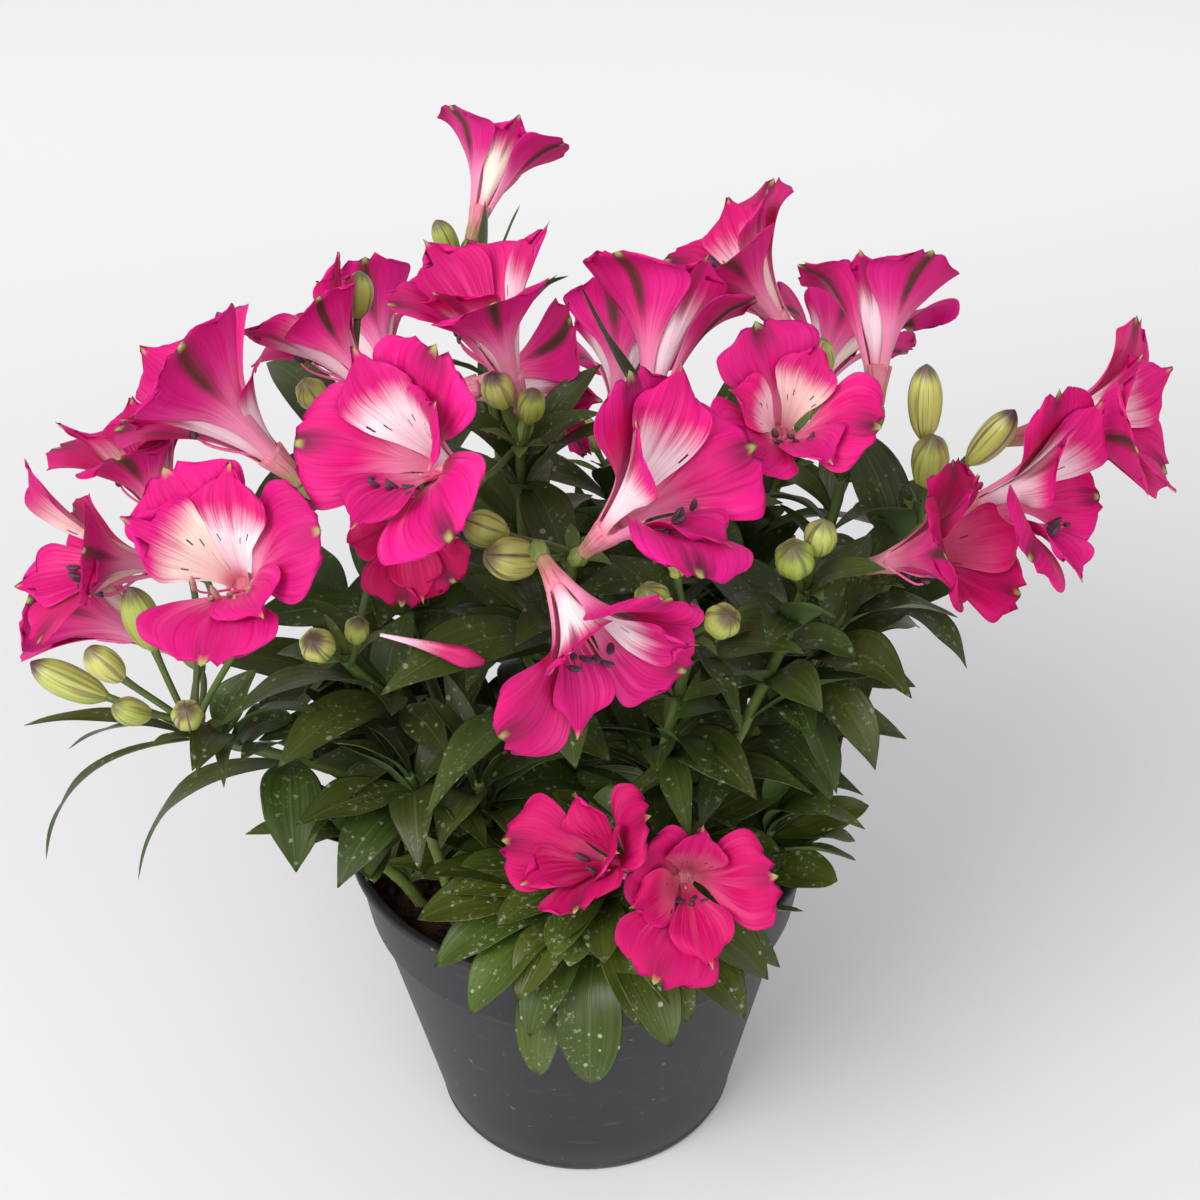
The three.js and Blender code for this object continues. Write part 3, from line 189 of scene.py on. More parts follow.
# share of the stem, tip, width, arch, roll
handLeaves = {
    "stem_left": [[0.97, [-179, -60, 162], 9, 16, 20], [0.72, [-150, -58, 150], 13, 20, 10],
        [0.78, [-92, -80, 172], 22, 14, -20], [0.99, [-182, -46, 208], 7, 6, 0],
        [0.96, [-172, -36, 190], 7, 8, 30], [0.9, [-112, -78, 206], 9, 8, 40]],
    "stem_left_short": [[0.88, [-112, -72, 226], 17, 10, 15], [0.8, [-94, -78, 214], 18, 8, -15],
        [0.62, [-86, -86, 190], 17, 8, 20]],
    "stem_front": [[0.78, [-58, -92, 252], 18, 10, -25], [0.6, [-47, -92, 204], 17, 14, 10],
        [0.92, [-50, -30, 262], 14, 8, 20], [0.86, [34, -92, 262], 15, 8, -20]],
    "stem_tall": [[0.9, [12, 20, 301], 12, 6, 20], [0.8, [-46, 10, 276], 15, 8, -20]],
    "stem_top": [[0.96, [-27, 48, 350], 14, -4, 60], [0.86, [0, 40, 326], 11, 6, -30],
        [0.92, [-16, 62, 342], 6, 2, 0], [0.8, [-4, 62, 316], 7, 6, 10], [0.6, [-6, 44, 268], 20, 8, 10]],
    "stem_middle": [[0.7, [-6, -14, 268], 19, 8, 30], [0.95, [20, 34, 338], 9, -4, 20],
        [0.9, [70, 30, 314], 12, 5, 10]],
    "stem_far_right": [[0.86, [122, -52, 249], 20, 9, -20], [0.8, [104, -82, 240], 19, 10, 15],
        [0.76, [96, -72, 204], 15, 10, 20], [0.9, [118, -62, 266], 12, 6, 0],
        [0.7, [82, -86, 206], 16, 10, -25]],
    "stem_front_right": [[0.62, [56, -98, 214], 20, 12, 15], [0.55, [80, -82, 210], 19, 9, -10],
        [0.9, [70, -88, 262], 17, 7, 10]],
    "stem_right_bud": [[0.94, [94, -78, 285], 12, 6, 20], [0.9, [58, -92, 268], 13, 6, -20]],
    "stem_right": [[0.8, [130, -34, 216], 12, 8, 0], [0.66, [120, 4, 206], 17, 10, 10]],
    "shoot_front_left": [[0.9, [-44, -86, 186], 16, 10, 10], [0.8, [-16, -92, 190], 14, 8, -10],
        [1, [-30, -60, 224], 11, -2, 0], [0.98, [-12, -64, 216], 10, 4, 0],
        [0.96, [-48, -58, 226], 12, 4, 0]],
    "shoot_left": [[0.9, [-50, -96, 186], 16, 12, 20], [0.84, [-94, -86, 200], 18, 10, -15]],
    "shoot_rim_left": [[0.86, [-66, -86, 172], 15, 8, 0], [0.8, [-98, -72, 166], 17, 8, 10],
        [1, [-88, -80, 182], 20, 8, -10]],
    "stem_rosette": [[0.95, [-53, -86, 156], 21, 9, 0], [0.98, [-43, -72, 162], 19, 8, 0],
        [0.99, [-38, -60, 172], 19, 7, 0], [0.9, [-36, -106, 132], 22, 12, 10],
        [0.97, [-24, -100, 160], 18, 8, 10], [0.86, [-18, -110, 132], 19, 12, 0],
        [0.78, [-15, -101, 98], 20, 16, 0], [0.84, [-4, -106, 100], 22, 18, 0],
        [1, [-3, -104, 158], 16, 6, 0], [0.95, [20, -110, 144], 19, 10, 0],
        [0.8, [22, -102, 112], 25, 14, 0], [0.88, [54, -102, 124], 25, 12, -10],
        [0.93, [62, -94, 134], 25, 12, -10], [0.8, [64, -88, 122], 20, 12, 0],
        [0.98, [58, -74, 152], 21, 8, 0]],
    "shoot_front_right": [[0.9, [68, -56, 158], 18, 6, 0], [1, [57, -48, 178], 20, 4, 10],
        [0.98, [40, -62, 188], 15, 3, 0], [1, [14, -52, 203], 16, 2, 0], [0.97, [0, -54, 200], 16, 3, 0],
        [0.95, [9, -66, 190], 13, 3, 0]],
    "shoot_rim_right": [[0.9, [84, -60, 176], 18, 8, 0], [1, [80, -66, 200], 17, 8, 0]],
}

# leaves up a stem by a rule: how many, first and last share, length, width
spirals = {
    "stem_left": [1, 0.4, 0.62, 58, 19],
    "stem_left_short": [2, 0.5, 0.8, 55, 18],
    "stem_tall": [3, 0.45, 0.95, 62, 17],
    "stem_front": [2, 0.4, 0.7, 60, 18],
    "stem_front_right": [1, 0.6, 0.8, 52, 18],
    "stem_mid_right": [4, 0.4, 0.97, 60, 18],
    "stem_right": [4, 0.4, 0.97, 60, 18],
    "stem_far_right": [2, 0.4, 0.7, 60, 19],
    "stem_right_bud": [2, 0.45, 0.75, 56, 18],
    "stem_top": [3, 0.45, 0.8, 64, 16],
    "stem_left_back": [4, 0.4, 0.97, 62, 18],
    "stem_middle": [3, 0.4, 0.85, 60, 17],
    "stem_back_left": [5, 0.4, 0.98, 62, 20],
    "stem_back_right": [5, 0.4, 0.98, 62, 20],
    "stem_back": [5, 0.4, 0.98, 58, 20],
    "shoot_front_left": [2, 0.5, 0.8, 40, 15],
    "shoot_left": [3, 0.5, 1, 46, 17],
    "shoot_rim_left": [1, 0.8, 1, 38, 16],
    "shoot_front_right": [1, 0.85, 1, 38, 16],
    "shoot_rim_right": [2, 0.8, 1, 42, 17],
    "shoot_side_left": [4, 0.5, 1, 56, 20],
    "shoot_side_right": [4, 0.5, 1, 56, 20],
    "shoot_back": [4, 0.5, 1, 52, 20],
}

# ways a leaf may bend clear of its neighbours: turn, lift, share of length
bends = [
    [0, 0, 1], [10, 0, 1], [-10, 0, 1], [0, 10, 1], [0, -10, 1], [14, 14, 1], [-14, 14, 1],
    [14, -14, 0.95], [-14, -14, 0.95], [26, 0, 0.95], [-26, 0, 0.95], [0, 24, 0.95], [0, -24, 0.9],
    [24, 22, 0.9], [-24, 22, 0.9], [24, -22, 0.85], [-24, -22, 0.85], [44, 0, 0.85], [-44, 0, 0.85],
    [0, 40, 0.8], [40, 34, 0.8], [-40, 34, 0.8], [64, 10, 0.75], [-64, 10, 0.75], [90, 0, 0.7],
    [-90, 0, 0.7], [0, 0, 0.7], [30, 20, 0.6], [-30, 20, 0.6], [0, -20, 0.55], [120, 20, 0.6],
    [-120, 20, 0.6],
]

# ways a stalk may bow
bows = [
    [0, 0, 2], [6, 0, 0], [-6, 0, 0], [0, 6, 0], [0, -6, 0], [0, 0, -6], [0, 0, 10], [12, 0, 0],
    [-12, 0, 0], [0, 12, 0], [0, -12, 0], [10, 10, 0], [-10, 10, 0], [-10, -10, 0], [10, -10, 0],
]

# ways a tepal may fold: added opening, share of length
folds = [
    [0, 1], [-8, 1], [8, 1], [-16, 1], [14, 0.95], [-24, 0.95], [-32, 0.9], [0, 0.88], [-16, 0.85],
    [-40, 0.85], [-8, 0.75], [-30, 0.7], [-45, 0.65], [0, 0.6], [-30, 0.5],
]


# small maths


def draw(seed):  # a steady number from 0 to 1 for a whole-number seed
    mask = 0xFFFFFFFF
    a = (seed * 0x9E3779B1 + 0x6D2B79F5) & mask
    a = ((a ^ (a >> 15)) * (a | 1)) & mask
    a ^= (a + (a ^ (a >> 7)) * (a | 61)) & mask
    return ((a ^ (a >> 14)) & mask) / 4294967296


def vec(p):
    return np.array(p, float)


def unit(v):
    return v / np.linalg.norm(v, axis=-1, keepdims=True)


def smooth(x, low, high):
    t = np.clip((np.asarray(x, float) - low) / (high - low), 0, 1)
    return t * t * (3 - 2 * t)


def aim(heading, rise):  # the unit direction of two angles in radians
    return np.array([math.cos(rise) * math.cos(heading), math.cos(rise) * math.sin(heading), math.sin(rise)])


def turnAbout(v, axis, degrees):
    return np.array(Matrix.Rotation(math.radians(degrees), 3, Vector(axis)) @ Vector(v))

curveSteps = 201


def cubicAt(p, t):
    t = np.asarray(t, float)[..., None]
    s = 1 - t
    return s**3 * p[0] + 3 * s * s * t * p[1] + 3 * s * t * t * p[2] + t**3 * p[3]


def curveOf(points):
    p = [vec(q) for q in points]
    line = cubicAt(p, np.linspace(0, 1, curveSteps))
    steps = np.linalg.norm(np.diff(line, axis=0), axis=1)
    return {"p": p, "lengths": np.concatenate([[0], np.cumsum(steps)])}


def along(curve, share):  # the point at a share of the curve's length
    lengths = curve["lengths"]
    t = np.interp(np.asarray(share) * lengths[-1], lengths, np.linspace(0, 1, curveSteps))
    return cubicAt(curve["p"], t)


def outlineAt(points, x):  # a smooth curve through given points
    xs, ys = np.array(points, float).T
    x = np.clip(x, xs[0], xs[-1])
    i = np.clip(np.searchsorted(xs, x, side="right") - 1, 0, len(xs) - 2)
    slopes = np.gradient(ys, xs)
    h = xs[i + 1] - xs[i]
    u = (x - xs[i]) / h
    a, b = ys[i], ys[i + 1]
    return (2 * u**3 - 3 * u**2 + 1) * a + (u**3 - 2 * u**2 + u) * h * slopes[i] + (
        3 * u**2 - 2 * u**3) * b + (u**3 - u**2) * h * slopes[i + 1]


# a bag collects the surfaces of one piece, with what its material needs at each point


def newBag():
    lists = {key: [] for key in ("verts", "faces", "skin", "place", "marks", "tint", "base")}
    return {"count": 0, **lists}


def pour(bag, verts, faces, skin, tint, base, place=(0, 0, 0), marks=(0, 0, 0)):
    n = len(verts)
    bag["verts"].append(verts)
    bag["faces"] += [tuple(int(i) + bag["count"] for i in f) for f in faces]
    bag["skin"] += [skin.name] * len(faces)
    for key, value in (("place", place), ("marks", marks), ("tint", tint), ("base", base)):
        bag[key].append(np.broadcast_to(np.asarray(value, float), (n, 3)))
    bag["count"] += n


def makePiece(name, bag, skins, node=None):
    mesh = bpy.data.meshes.new(name)
    mesh.from_pydata((np.concatenate(bag["verts"]) * mm).tolist(), [], bag["faces"])
    for key in ("place", "marks"):
        layer = mesh.attributes.new(key, "FLOAT_VECTOR", "POINT")
        layer.data.foreach_set("vector", np.concatenate(bag[key]).ravel())
    for key in ("tint", "base"):
        flat = np.concatenate(bag[key])
        layer = mesh.attributes.new(key, "FLOAT_COLOR", "POINT")
        layer.data.foreach_set("color", np.hstack([flat, np.ones((len(flat), 1))]).ravel())
    for skin in skins:
        mesh.materials.append(skin)
    order = {skin.name: i for i, skin in enumerate(skins)}
    mesh.polygons.foreach_set("material_index", [order[skin] for skin in bag["skin"]])
    mesh.polygons.foreach_set("use_smooth", [True] * len(mesh.polygons))
    mesh.validate()
    mesh.update()
    piece = bpy.data.objects.new(name, mesh)
    bpy.context.scene.collection.objects.link(piece)
    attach(piece, "root")
    if node:
        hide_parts(node)
    return piece


def gridFaces(index, flip):
    faces = []
    for row, after in zip(index[:-1], index[1:]):
        for c in range(len(row) - 1):
            quad = (row[c], row[c + 1], after[c + 1], after[c])
            faces.append(quad[::-1] if flip else quad)
    return faces


def turnedFaces(rings, sides, outward):  # bands between rings of points, and a fan at each end
    faces = []
    for k in range(sides):
        k2 = (k + 1) % sides
        faces.append((0, 1 + k2, 1 + k))
        for i in range(rings - 1):
            a, b = 1 + i * sides + k, 1 + i * sides + k2
            faces.append((a, b, b + sides, a + sides))
        last = 1 + (rings - 1) * sides
        faces.append((last + sides, last + k, last + k2))
    return faces if outward else [face[:1] + face[:0:-1] for face in faces]


def ringAt(radius, angles, z):
    return np.stack([radius * np.cos(angles), radius * np.sin(angles), 0 * angles + z], 1).tolist()


def addSheet(bag, top, thick, s, t, seed, marks, tint, base, skin):
    # a thin closed sheet: the upper face as given, the lower one a skin's thickness below it
    rows, columns = top.shape[:2]
    normal = unit(np.cross(np.gradient(top, axis=1), np.gradient(top, axis=0)) + 1e-9)
    low = top - normal * thick[..., None]
    index = np.arange(rows * columns).reshape(rows, columns)
    under = index.copy()
    inner = np.zeros((rows, columns), bool)
    inner[1:-1, 1:-1] = True
    under[inner] = rows * columns + np.arange(inner.sum())
    verts = np.concatenate([top.reshape(-1, 3), low[inner]])
    where = np.stack([s, t, np.full(s.shape, seed)], -1)
    place = np.concatenate([where.reshape(-1, 3), where[inner]])
    marks = np.broadcast_to(vec(marks), where.shape)
    marks = np.concatenate([marks.reshape(-1, 3), marks[inner]])
    marks[rows * columns:, 2] = 1
    pour(bag, verts, gridFaces(index, False) + gridFaces(under, True), skin, tint, base, place, marks)


def addTube(bag, centres, radii, sides, seed, skin, tint, base, marks=(0, 0, 0), ribs=(0, 0)):
    # a round stalk along points, closed at both ends; ribs are how many and how deep
    n = len(centres)
    tangents = unit(np.gradient(centres, axis=0))
    side = np.cross(up, tangents[0]) if abs(tangents[0][2]) < 0.8 else np.cross([1, 0, 0], tangents[0])
    normals = []
    for tangent in tangents:
        side = unit(side - tangent * side.dot(tangent))
        normals.append(side)
    normals = np.array(normals)
    others = np.cross(tangents, normals)
    angles = np.arange(sides) * 2 * math.pi / sides
    r = np.broadcast_to(radii, n)[:, None] * (1 + ribs[1] * np.cos(ribs[0] * angles)[None, :])
    ring = normals[:, None] * np.cos(angles)[None, :, None] + others[:, None] * np.sin(angles)[None, :, None]
    verts = (centres[:, None] + ring * r[..., None]).reshape(-1, 3)
    verts = np.concatenate([verts, centres[:1], centres[-1:]])
    index = np.arange(n * sides).reshape(n, sides)
    faces = gridFaces(np.concatenate([index, index[:, :1]], 1), False)
    s = np.repeat(np.linspace(0, 1, n), sides)
    place = np.stack([s, np.tile(angles / (2 * math.pi), n), np.full(n * sides, seed)], -1)
    place = np.concatenate([place, [[0, 0, seed], [1, 0, seed]]])
    for k in range(sides):
        k2 = (k + 1) % sides
        faces.append((n * sides, index[0, k2], index[0, k]))
        faces.append((n * sides + 1, index[-1, k], index[-1, k2]))
    if np.ndim(tint) > 1:
        tint = np.repeat(tint, sides, 0)
        tint = np.concatenate([tint, tint[:1], tint[-1:]])
    pour(bag, verts, faces, skin, tint, base, place, marks)


# materials, each from nodes that read the place along and across a blade

nodeTree = {"now": None}  # the node tree that new nodes go into


def newMaterial(name, roughness, **sockets):
    material = bpy.data.materials.new(name)
    material.use_nodes = True
    nodeTree["now"] = material.node_tree
    shader = material.node_tree.nodes["Principled BSDF"]
    shader.inputs["Roughness"].default_value = roughness
    for socket, value in sockets.items():
        shader.inputs[socket.replace("_", " ")].default_value = value
    return material, shader


def addNode(kind):
    return nodeTree["now"].nodes.new("ShaderNode" + kind)


def link(output, socket):
    nodeTree["now"].links.new(output, socket)


def feed(sockets, values):
    for socket, value in zip(sockets, values):
        if hasattr(value, "is_output"):
            link(value, socket)
        else:
            socket.default_value = value


def calc(operation, a, b=0.0, c=0.0):
    node = addNode("Math")
    node.operation = operation
    feed(node.inputs, (a, b, c))
    return node.outputs[0]


def times(a, b):
    return calc("MULTIPLY", a, b)


def plus(a, b):
    return calc("ADD", a, b)


def minus(a, b):
    return calc("SUBTRACT", a, b)


def timesPlus(a, b, c):
    return calc("MULTIPLY_ADD", a, b, c)


def step(value, low, high):  # smooth 0 to 1 as value goes from low to high
    node = addNode("MapRange")
    node.interpolation_type = "SMOOTHSTEP"
    feed(node.inputs, (value, low, high, 0.0, 1.0))
    return node.outputs[0]


def blend(share, a, b, mode="MIX"):
    node = addNode("Mix")
    node.data_type = "RGBA"
    node.blend_type = mode
    feed((node.inputs["Factor"], node.inputs[6], node.inputs[7]), (share, a, b))
    return node.outputs[2]


def join(x, y, z):
    node = addNode("CombineXYZ")
    feed(node.inputs, (x, y, z))
    return node.outputs[0]


def brighten(colour, bright, blue=1.0):
    return blend(1.0, colour, join(bright, bright, times(bright, blue)), "MULTIPLY")


def rgb(r, g, b):
    return (r, g, b, 1)


def readColour(name):
    node = addNode("Attribute")
    node.attribute_name = name
    return node.outputs["Color"]


def readThree(name):
    node = addNode("Attribute")
    node.attribute_name = name
    split = addNode("SeparateXYZ")
    link(node.outputs["Vector"], split.inputs[0])
    return split.outputs


def noiseOf(vector, scale, detail=2.0, rough=0.5):
    node = addNode("TexNoise")
    link(vector, node.inputs["Vector"])
    node.inputs["Scale"].default_value = scale
    node.inputs["Detail"].default_value = detail
    node.inputs["Roughness"].default_value = rough
    return node.outputs["Fac"]


def bladeNoise(s, t, seed, across, lengthwise, detail=3.0):  # noise drawn out along a blade
    return noiseOf(join(times(t, across), times(s, lengthwise), seed), 1.0, detail)


def objectPlace():
    return addNode("TexCoord").outputs["Object"]


def dress(material, shader, colour, height, strength, distance):  # colour and bump, the last of a material
    link(colour, shader.inputs["Base Color"])
    node = addNode("Bump")
    node.inputs["Strength"].default_value = strength
    node.inputs["Distance"].default_value = distance
    link(height, node.inputs["Height"])
    link(node.outputs[0], shader.inputs["Normal"])
    return material


tepalLook = {
    "crimson": rgb(0.36, 0.0, 0.09), "streak": rgb(0.045, 0.010, 0.020),
    "streakBack": rgb(0.05, 0.035, 0.015),
    "tip": rgb(0.34, 0.36, 0.10), "dash": rgb(0.05, 0.0, 0.02), "throat": rgb(0.86, 0.30, 0.42),
    "ray": rgb(0.90, 0.22, 0.44), "footVein": rgb(0.72, 0.12, 0.3), "deep": rgb(0.40, 0.0, 0.10),
    "backGlow": rgb(0.86, 0.02, 0.30),
    "rayDepth": 0.26, "veinDepth": 0.42, "deepDepth": 0.42, "backDepth": 0.4,
    "dashLanes": 3.4, "dashAt": 0.5,
}


def makeTepalSkin():
    look = tepalLook
    material, shader = newMaterial("tepalSkin", 0.55, Specular_IOR_Level=0.14, Subsurface_Weight=0.12,
                                   Subsurface_Scale=0.003)
    shader.inputs["Subsurface Radius"].default_value = (1.0, 0.15, 0.3)
    s, t, seed = readThree("place")
    streak, dashes, back = readThree("marks")
    away = calc("ABSOLUTE", t)
    switch = calc("FRACT", seed)
    lengthwise = bladeNoise(s, t, seed, 7.0, 1.4)
    fine = bladeNoise(s, t, seed, 26.0, 2.2)
    cloud = bladeNoise(s, t, seed, 2.0, 3.0, 2.0)
    # pale foot, pink lip, and a border between them that bows down beside the midrib
    border = minus(s, switch)
    border = plus(border, timesPlus(fine, 0.09, -0.045))
    border = plus(border, timesPlus(cloud, 0.12, -0.06))
    border = plus(border, times(step(away, 0.2, 0.0), 0.05))
    soft = timesPlus(dashes, -0.07, 0.2)
    lip = step(border, times(soft, -1.0), soft)
    foot = blend(step(s, 0.28, 0.04), readColour("base"), look["throat"])
    colour = blend(lip, foot, readColour("tint"))
    # paler pink rays that run out of the foot into the lip
    ray = times(step(lengthwise, 0.42, 0.66), step(s, 0.98, 0.45))
    colour = blend(times(times(ray, lip), look["rayDepth"]), colour, look["ray"])
    # darker crimson beside the midrib towards the lip
    shade = times(step(s, 0.4, 0.86), step(away, 0.8, 0.1))
    shade = times(shade, step(lengthwise, 0.3, 0.7))
    shade = times(shade, calc("MINIMUM", timesPlus(streak, 0.6, 0.1), 0.8))
    colour = blend(shade, colour, look["crimson"])
    # fine veins
    veins = times(step(fine, 0.48, 0.7), look["veinDepth"])
    colour = blend(veins, colour, blend(lip, look["footVein"], look["crimson"]))
    # uneven depth of colour over the lip
    deep = times(step(timesPlus(cloud, 0.6, times(fine, 0.4)), 0.42, 0.66), lip)
    colour = blend(times(deep, look["deepDepth"]), colour, look["deep"])
    # the back is a brighter magenta
    colour = blend(times(times(back, lip), look["backDepth"]), colour, look["backGlow"])
    # a dark smudge below the tip, drawn out along the midrib on the back
    width = timesPlus(back, -0.08, timesPlus(lengthwise, 0.16, 0.12))
    low = timesPlus(back, -0.32, 0.7)
    dark = times(step(calc("DIVIDE", away, width), 2.0, 0.2), step(s, low, plus(low, 0.27)))
    dark = times(dark, calc("MINIMUM", timesPlus(back, 0.35, streak), 1.0))
    dark = calc("MINIMUM", times(dark, timesPlus(lengthwise, 0.9, 0.5)), 0.94)
    colour = blend(dark, colour, blend(back, look["streak"], look["streakBack"]))
    # a few short dark dashes on the pale inner tepals, in lanes across the blade
    lane = times(t, look["dashLanes"])
    row = calc("ROUND", lane)
    offLane = calc("ABSOLUTE", minus(lane, row))
    wobble = calc("SINE", timesPlus(row, 2.3, times(seed, 3.1)))
    offRow = calc("ABSOLUTE", minus(s, timesPlus(wobble, 0.06, look["dashAt"])))
    dash = times(step(offLane, 0.1, 0.05), step(offRow, 0.036, 0.024))
    dash = times(dash, step(calc("ABSOLUTE", row), 0.4, 0.6))
    dash = times(dash, step(calc("SINE", timesPlus(row, 4.7, seed)), -0.1, 0.0))
    dash = times(dash, times(dashes, minus(1.0, back)))
    colour = blend(dash, colour, look["dash"])
    # green point at the tip
    tip = times(step(away, 0.12, 0.03), step(s, 0.92, 0.98))
    colour = blend(tip, colour, look["tip"])
    cells = noiseOf(objectPlace(), 900.0, 2.0)
    return dress(material, shader, colour, timesPlus(cells, 0.25, fine), 0.3, 0.0006)

leafLook = {
    "spot": rgb(0.42, 0.47, 0.36), "rib": 0.35, "underside": rgb(0.1, 0.17, 0.06), "dropScale": 210.0,
    "dropReach": 0.5, "dropCut": 0.105, "dropDepth": 0.75, "dustDepth": 0.6,
}


def makeLeafSkin():
    look = leafLook
    material, shader = newMaterial("leafSkin", 0.4, Specular_IOR_Level=0.3)
    s, t, seed = readThree("place")
    spots, _, back = readThree("marks")
    away = calc("ABSOLUTE", t)
    where = objectPlace()
    veins = bladeNoise(s, t, seed, 11.0, 0.7, 2.0)
    patch = noiseOf(where, 60.0, 3.0)
    bright = timesPlus(veins, 0.9, timesPlus(patch, 0.7, 0.2))
    colour = brighten(readColour("tint"), bright, 0.9)
    colour = blend(times(step(away, 0.07, 0.0), look["rib"]), colour, readColour("base"))
    colour = blend(times(back, 0.5), colour, look["underside"])
    # pale dried drops and dust
    cells = addNode("TexVoronoi")
    link(where, cells.inputs["Vector"])
    cells.inputs["Scale"].default_value = look["dropScale"]
    reach = minus(times(noiseOf(where, 95.0, 2.0), look["dropReach"]), look["dropCut"])
    drop = step(minus(reach, cells.outputs["Distance"]), -0.02, 0.08)
    dust = times(step(noiseOf(where, 520.0, 3.0, 0.6), 0.56, 0.70), step(patch, 0.45, 0.6))
    drop = calc("MAXIMUM", times(drop, look["dropDepth"]), times(dust, look["dustDepth"]))
    drop = times(drop, times(spots, minus(1.0, back)))
    colour = blend(drop, colour, look["spot"])
    link(plus(timesPlus(patch, 0.2, 0.3), times(drop, 0.3)), shader.inputs["Roughness"])
    lines = calc("SINE", times(t, 44.0))
    return dress(material, shader, colour, timesPlus(veins, 1.5, times(lines, 0.07)), 0.26, 0.0006)


def makeStemSkin():
    material, shader = newMaterial("stemSkin", 0.45, Specular_IOR_Level=0.4)
    s, t, seed = readThree("place")
    streaks = bladeNoise(s, t, seed, 14.0, 4.0, 2.0)
    specks = noiseOf(objectPlace(), 700.0, 2.0)
    colour = brighten(readColour("tint"), timesPlus(streaks, 0.7, 0.65))
    colour = blend(times(step(specks, 0.56, 0.72), 0.5), colour, readColour("base"))
    return dress(material, shader, colour, plus(streaks, specks), 0.3, 0.0004)


def makeBudSkin():
    material, shader = newMaterial("budSkin", 0.38, Specular_IOR_Level=0.45, Subsurface_Weight=0.08,
                                   Subsurface_Scale=0.003)
    s, t, seed = readThree("place")
    stripes, tips, _ = readThree("marks")
    ring = times(t, 2 * math.pi)
    around = join(times(calc("SINE", ring), 3.2), times(calc("COSINE", ring), 3.2), timesPlus(s, 0.7, seed))
    lines = noiseOf(around, 1.0, 3.0)
    fine = noiseOf(around, 3.0, 2.0)
    colour = blend(times(step(lines, 0.5, 0.66), stripes), readColour("tint"), readColour("base"))
    top = times(step(timesPlus(fine, 0.2, s), 0.86, 1.06), tips)
    colour = blend(top, colour, rgb(0.06, 0.02, 0.035))
    return dress(material, shader, colour, fine, 0.3, 0.0005)


def makeAntherSkin():
    material, shader = newMaterial("antherSkin", 0.6)
    grains = noiseOf(objectPlace(), 1500.0, 2.0)
    colour = brighten(readColour("tint"), timesPlus(grains, 1.2, 0.4))
    return dress(material, shader, colour, grains, 0.5, 0.0004)

potLook = {
    "dark": rgb(0.012, 0.012, 0.014), "light": rgb(0.026, 0.025, 0.029), "scuff": rgb(0.15, 0.15, 0.16),
    "speck": rgb(0.2, 0.18, 0.16), "foot": rgb(0.13, 0.12, 0.115),
}


def makePotSkin():
    look = potLook
    material, shader = newMaterial("potSkin", 0.5, Specular_IOR_Level=0.3)
    where = objectPlace()
    split = addNode("SeparateXYZ")
    link(where, split.inputs[0])
    x, y, z = split.outputs
    cloud = noiseOf(where, 16.0, 4.0, 0.6)
    grain = noiseOf(where, 1400.0, 2.0)
    scuffs = noiseOf(join(times(x, 60.0), times(y, 60.0), times(z, 420.0)), 1.0, 3.0, 0.6)
    specks = noiseOf(where, 260.0, 2.0)
    colour = blend(step(cloud, 0.3, 0.75), look["dark"], look["light"])
    colour = blend(times(step(scuffs, 0.6, 0.8), 0.25), colour, look["scuff"])
    colour = blend(times(step(specks, 0.7, 0.76), 0.5), colour, look["speck"])
    colour = blend(times(step(z, 0.02, 0.0), times(cloud, 0.4)), colour, look["foot"])
    link(timesPlus(cloud, 0.3, timesPlus(grain, 0.1, 0.28)), shader.inputs["Roughness"])
    return dress(material, shader, colour, timesPlus(scuffs, 0.6, grain), 0.12, 0.0003)


def makeSoilSkin():
    material, shader = newMaterial("soilSkin", 0.95, Specular_IOR_Level=0.2)
    where = objectPlace()
    clods = noiseOf(where, 130.0, 4.0, 0.65)
    grains = noiseOf(where, 900.0, 3.0, 0.7)
    colour = blend(step(clods, 0.3, 0.7), rgb(0.012, 0.006, 0.005), rgb(0.055, 0.026, 0.017))
    colour = blend(step(grains, 0.55, 0.75), colour, readColour("tint"))
    return dress(material, shader, colour, plus(clods, grains), 1.0, 0.002)

tepalSkin = makeTepalSkin()
leafSkin = makeLeafSkin()
stemSkin = makeStemSkin()
budSkin = makeBudSkin()
antherSkin = makeAntherSkin()
potSkin = makePotSkin()
soilSkin = makeSoilSkin()
print("materials ready")


# pot

potShape = {
    "height": 126, "rim": 85, "lip": 83.2, "collarZ": 97, "collar": 79.5, "body": 77, "base": 56, "wall": 2,
    "floor": 2.4, "sides": 120, "wobble": 0.25,
    "drains": 6, "drain": 5, "drainCircle": 38, "drainSides": 24, "drill": 12,
}
potTint = (0.06, 0.06, 0.07)


def potProfile(p):  # radius and height, from the outer bottom round the rim to the inner floor
    w, h = p["wall"], p["height"]
    return [
        (0, 1.2), (p["base"] - 5, 1.2), (p["base"] - 4, 0), (p["base"] - 0.6, 0), (p["base"], 0.5),
        (p["base"] + 1.1, 2.8), (p["base"] + 1.1, 3.3), (p["base"] + 0.8, 3.8), (p["base"] + 1.2, 5),
        (p["body"] - 0.3, p["collarZ"] - 4), (p["body"] + 0.3, p["collarZ"] - 2.6),
        (p["collar"] - 0.4, p["collarZ"] - 0.6), (p["collar"] + 0.1, p["collarZ"] + 1.2),
        (p["lip"] - 0.5, h - 6.5), (p["lip"] - 0.1, h - 4.2), (p["rim"] - 0.5, h - 3.2), (p["rim"], h - 2.6),
        (p["rim"], h - 0.7), (p["rim"] - 0.5, h - 0.1), (p["rim"] - 1.2, h), (p["lip"] - w + 0.6, h - 0.1),
        (p["lip"] - w, h - 0.9), (p["collar"] - w, p["collarZ"]), (p["body"] - w, p["collarZ"] - 4),
        (p["base"] - w, p["floor"]), (0, p["floor"]),
    ]


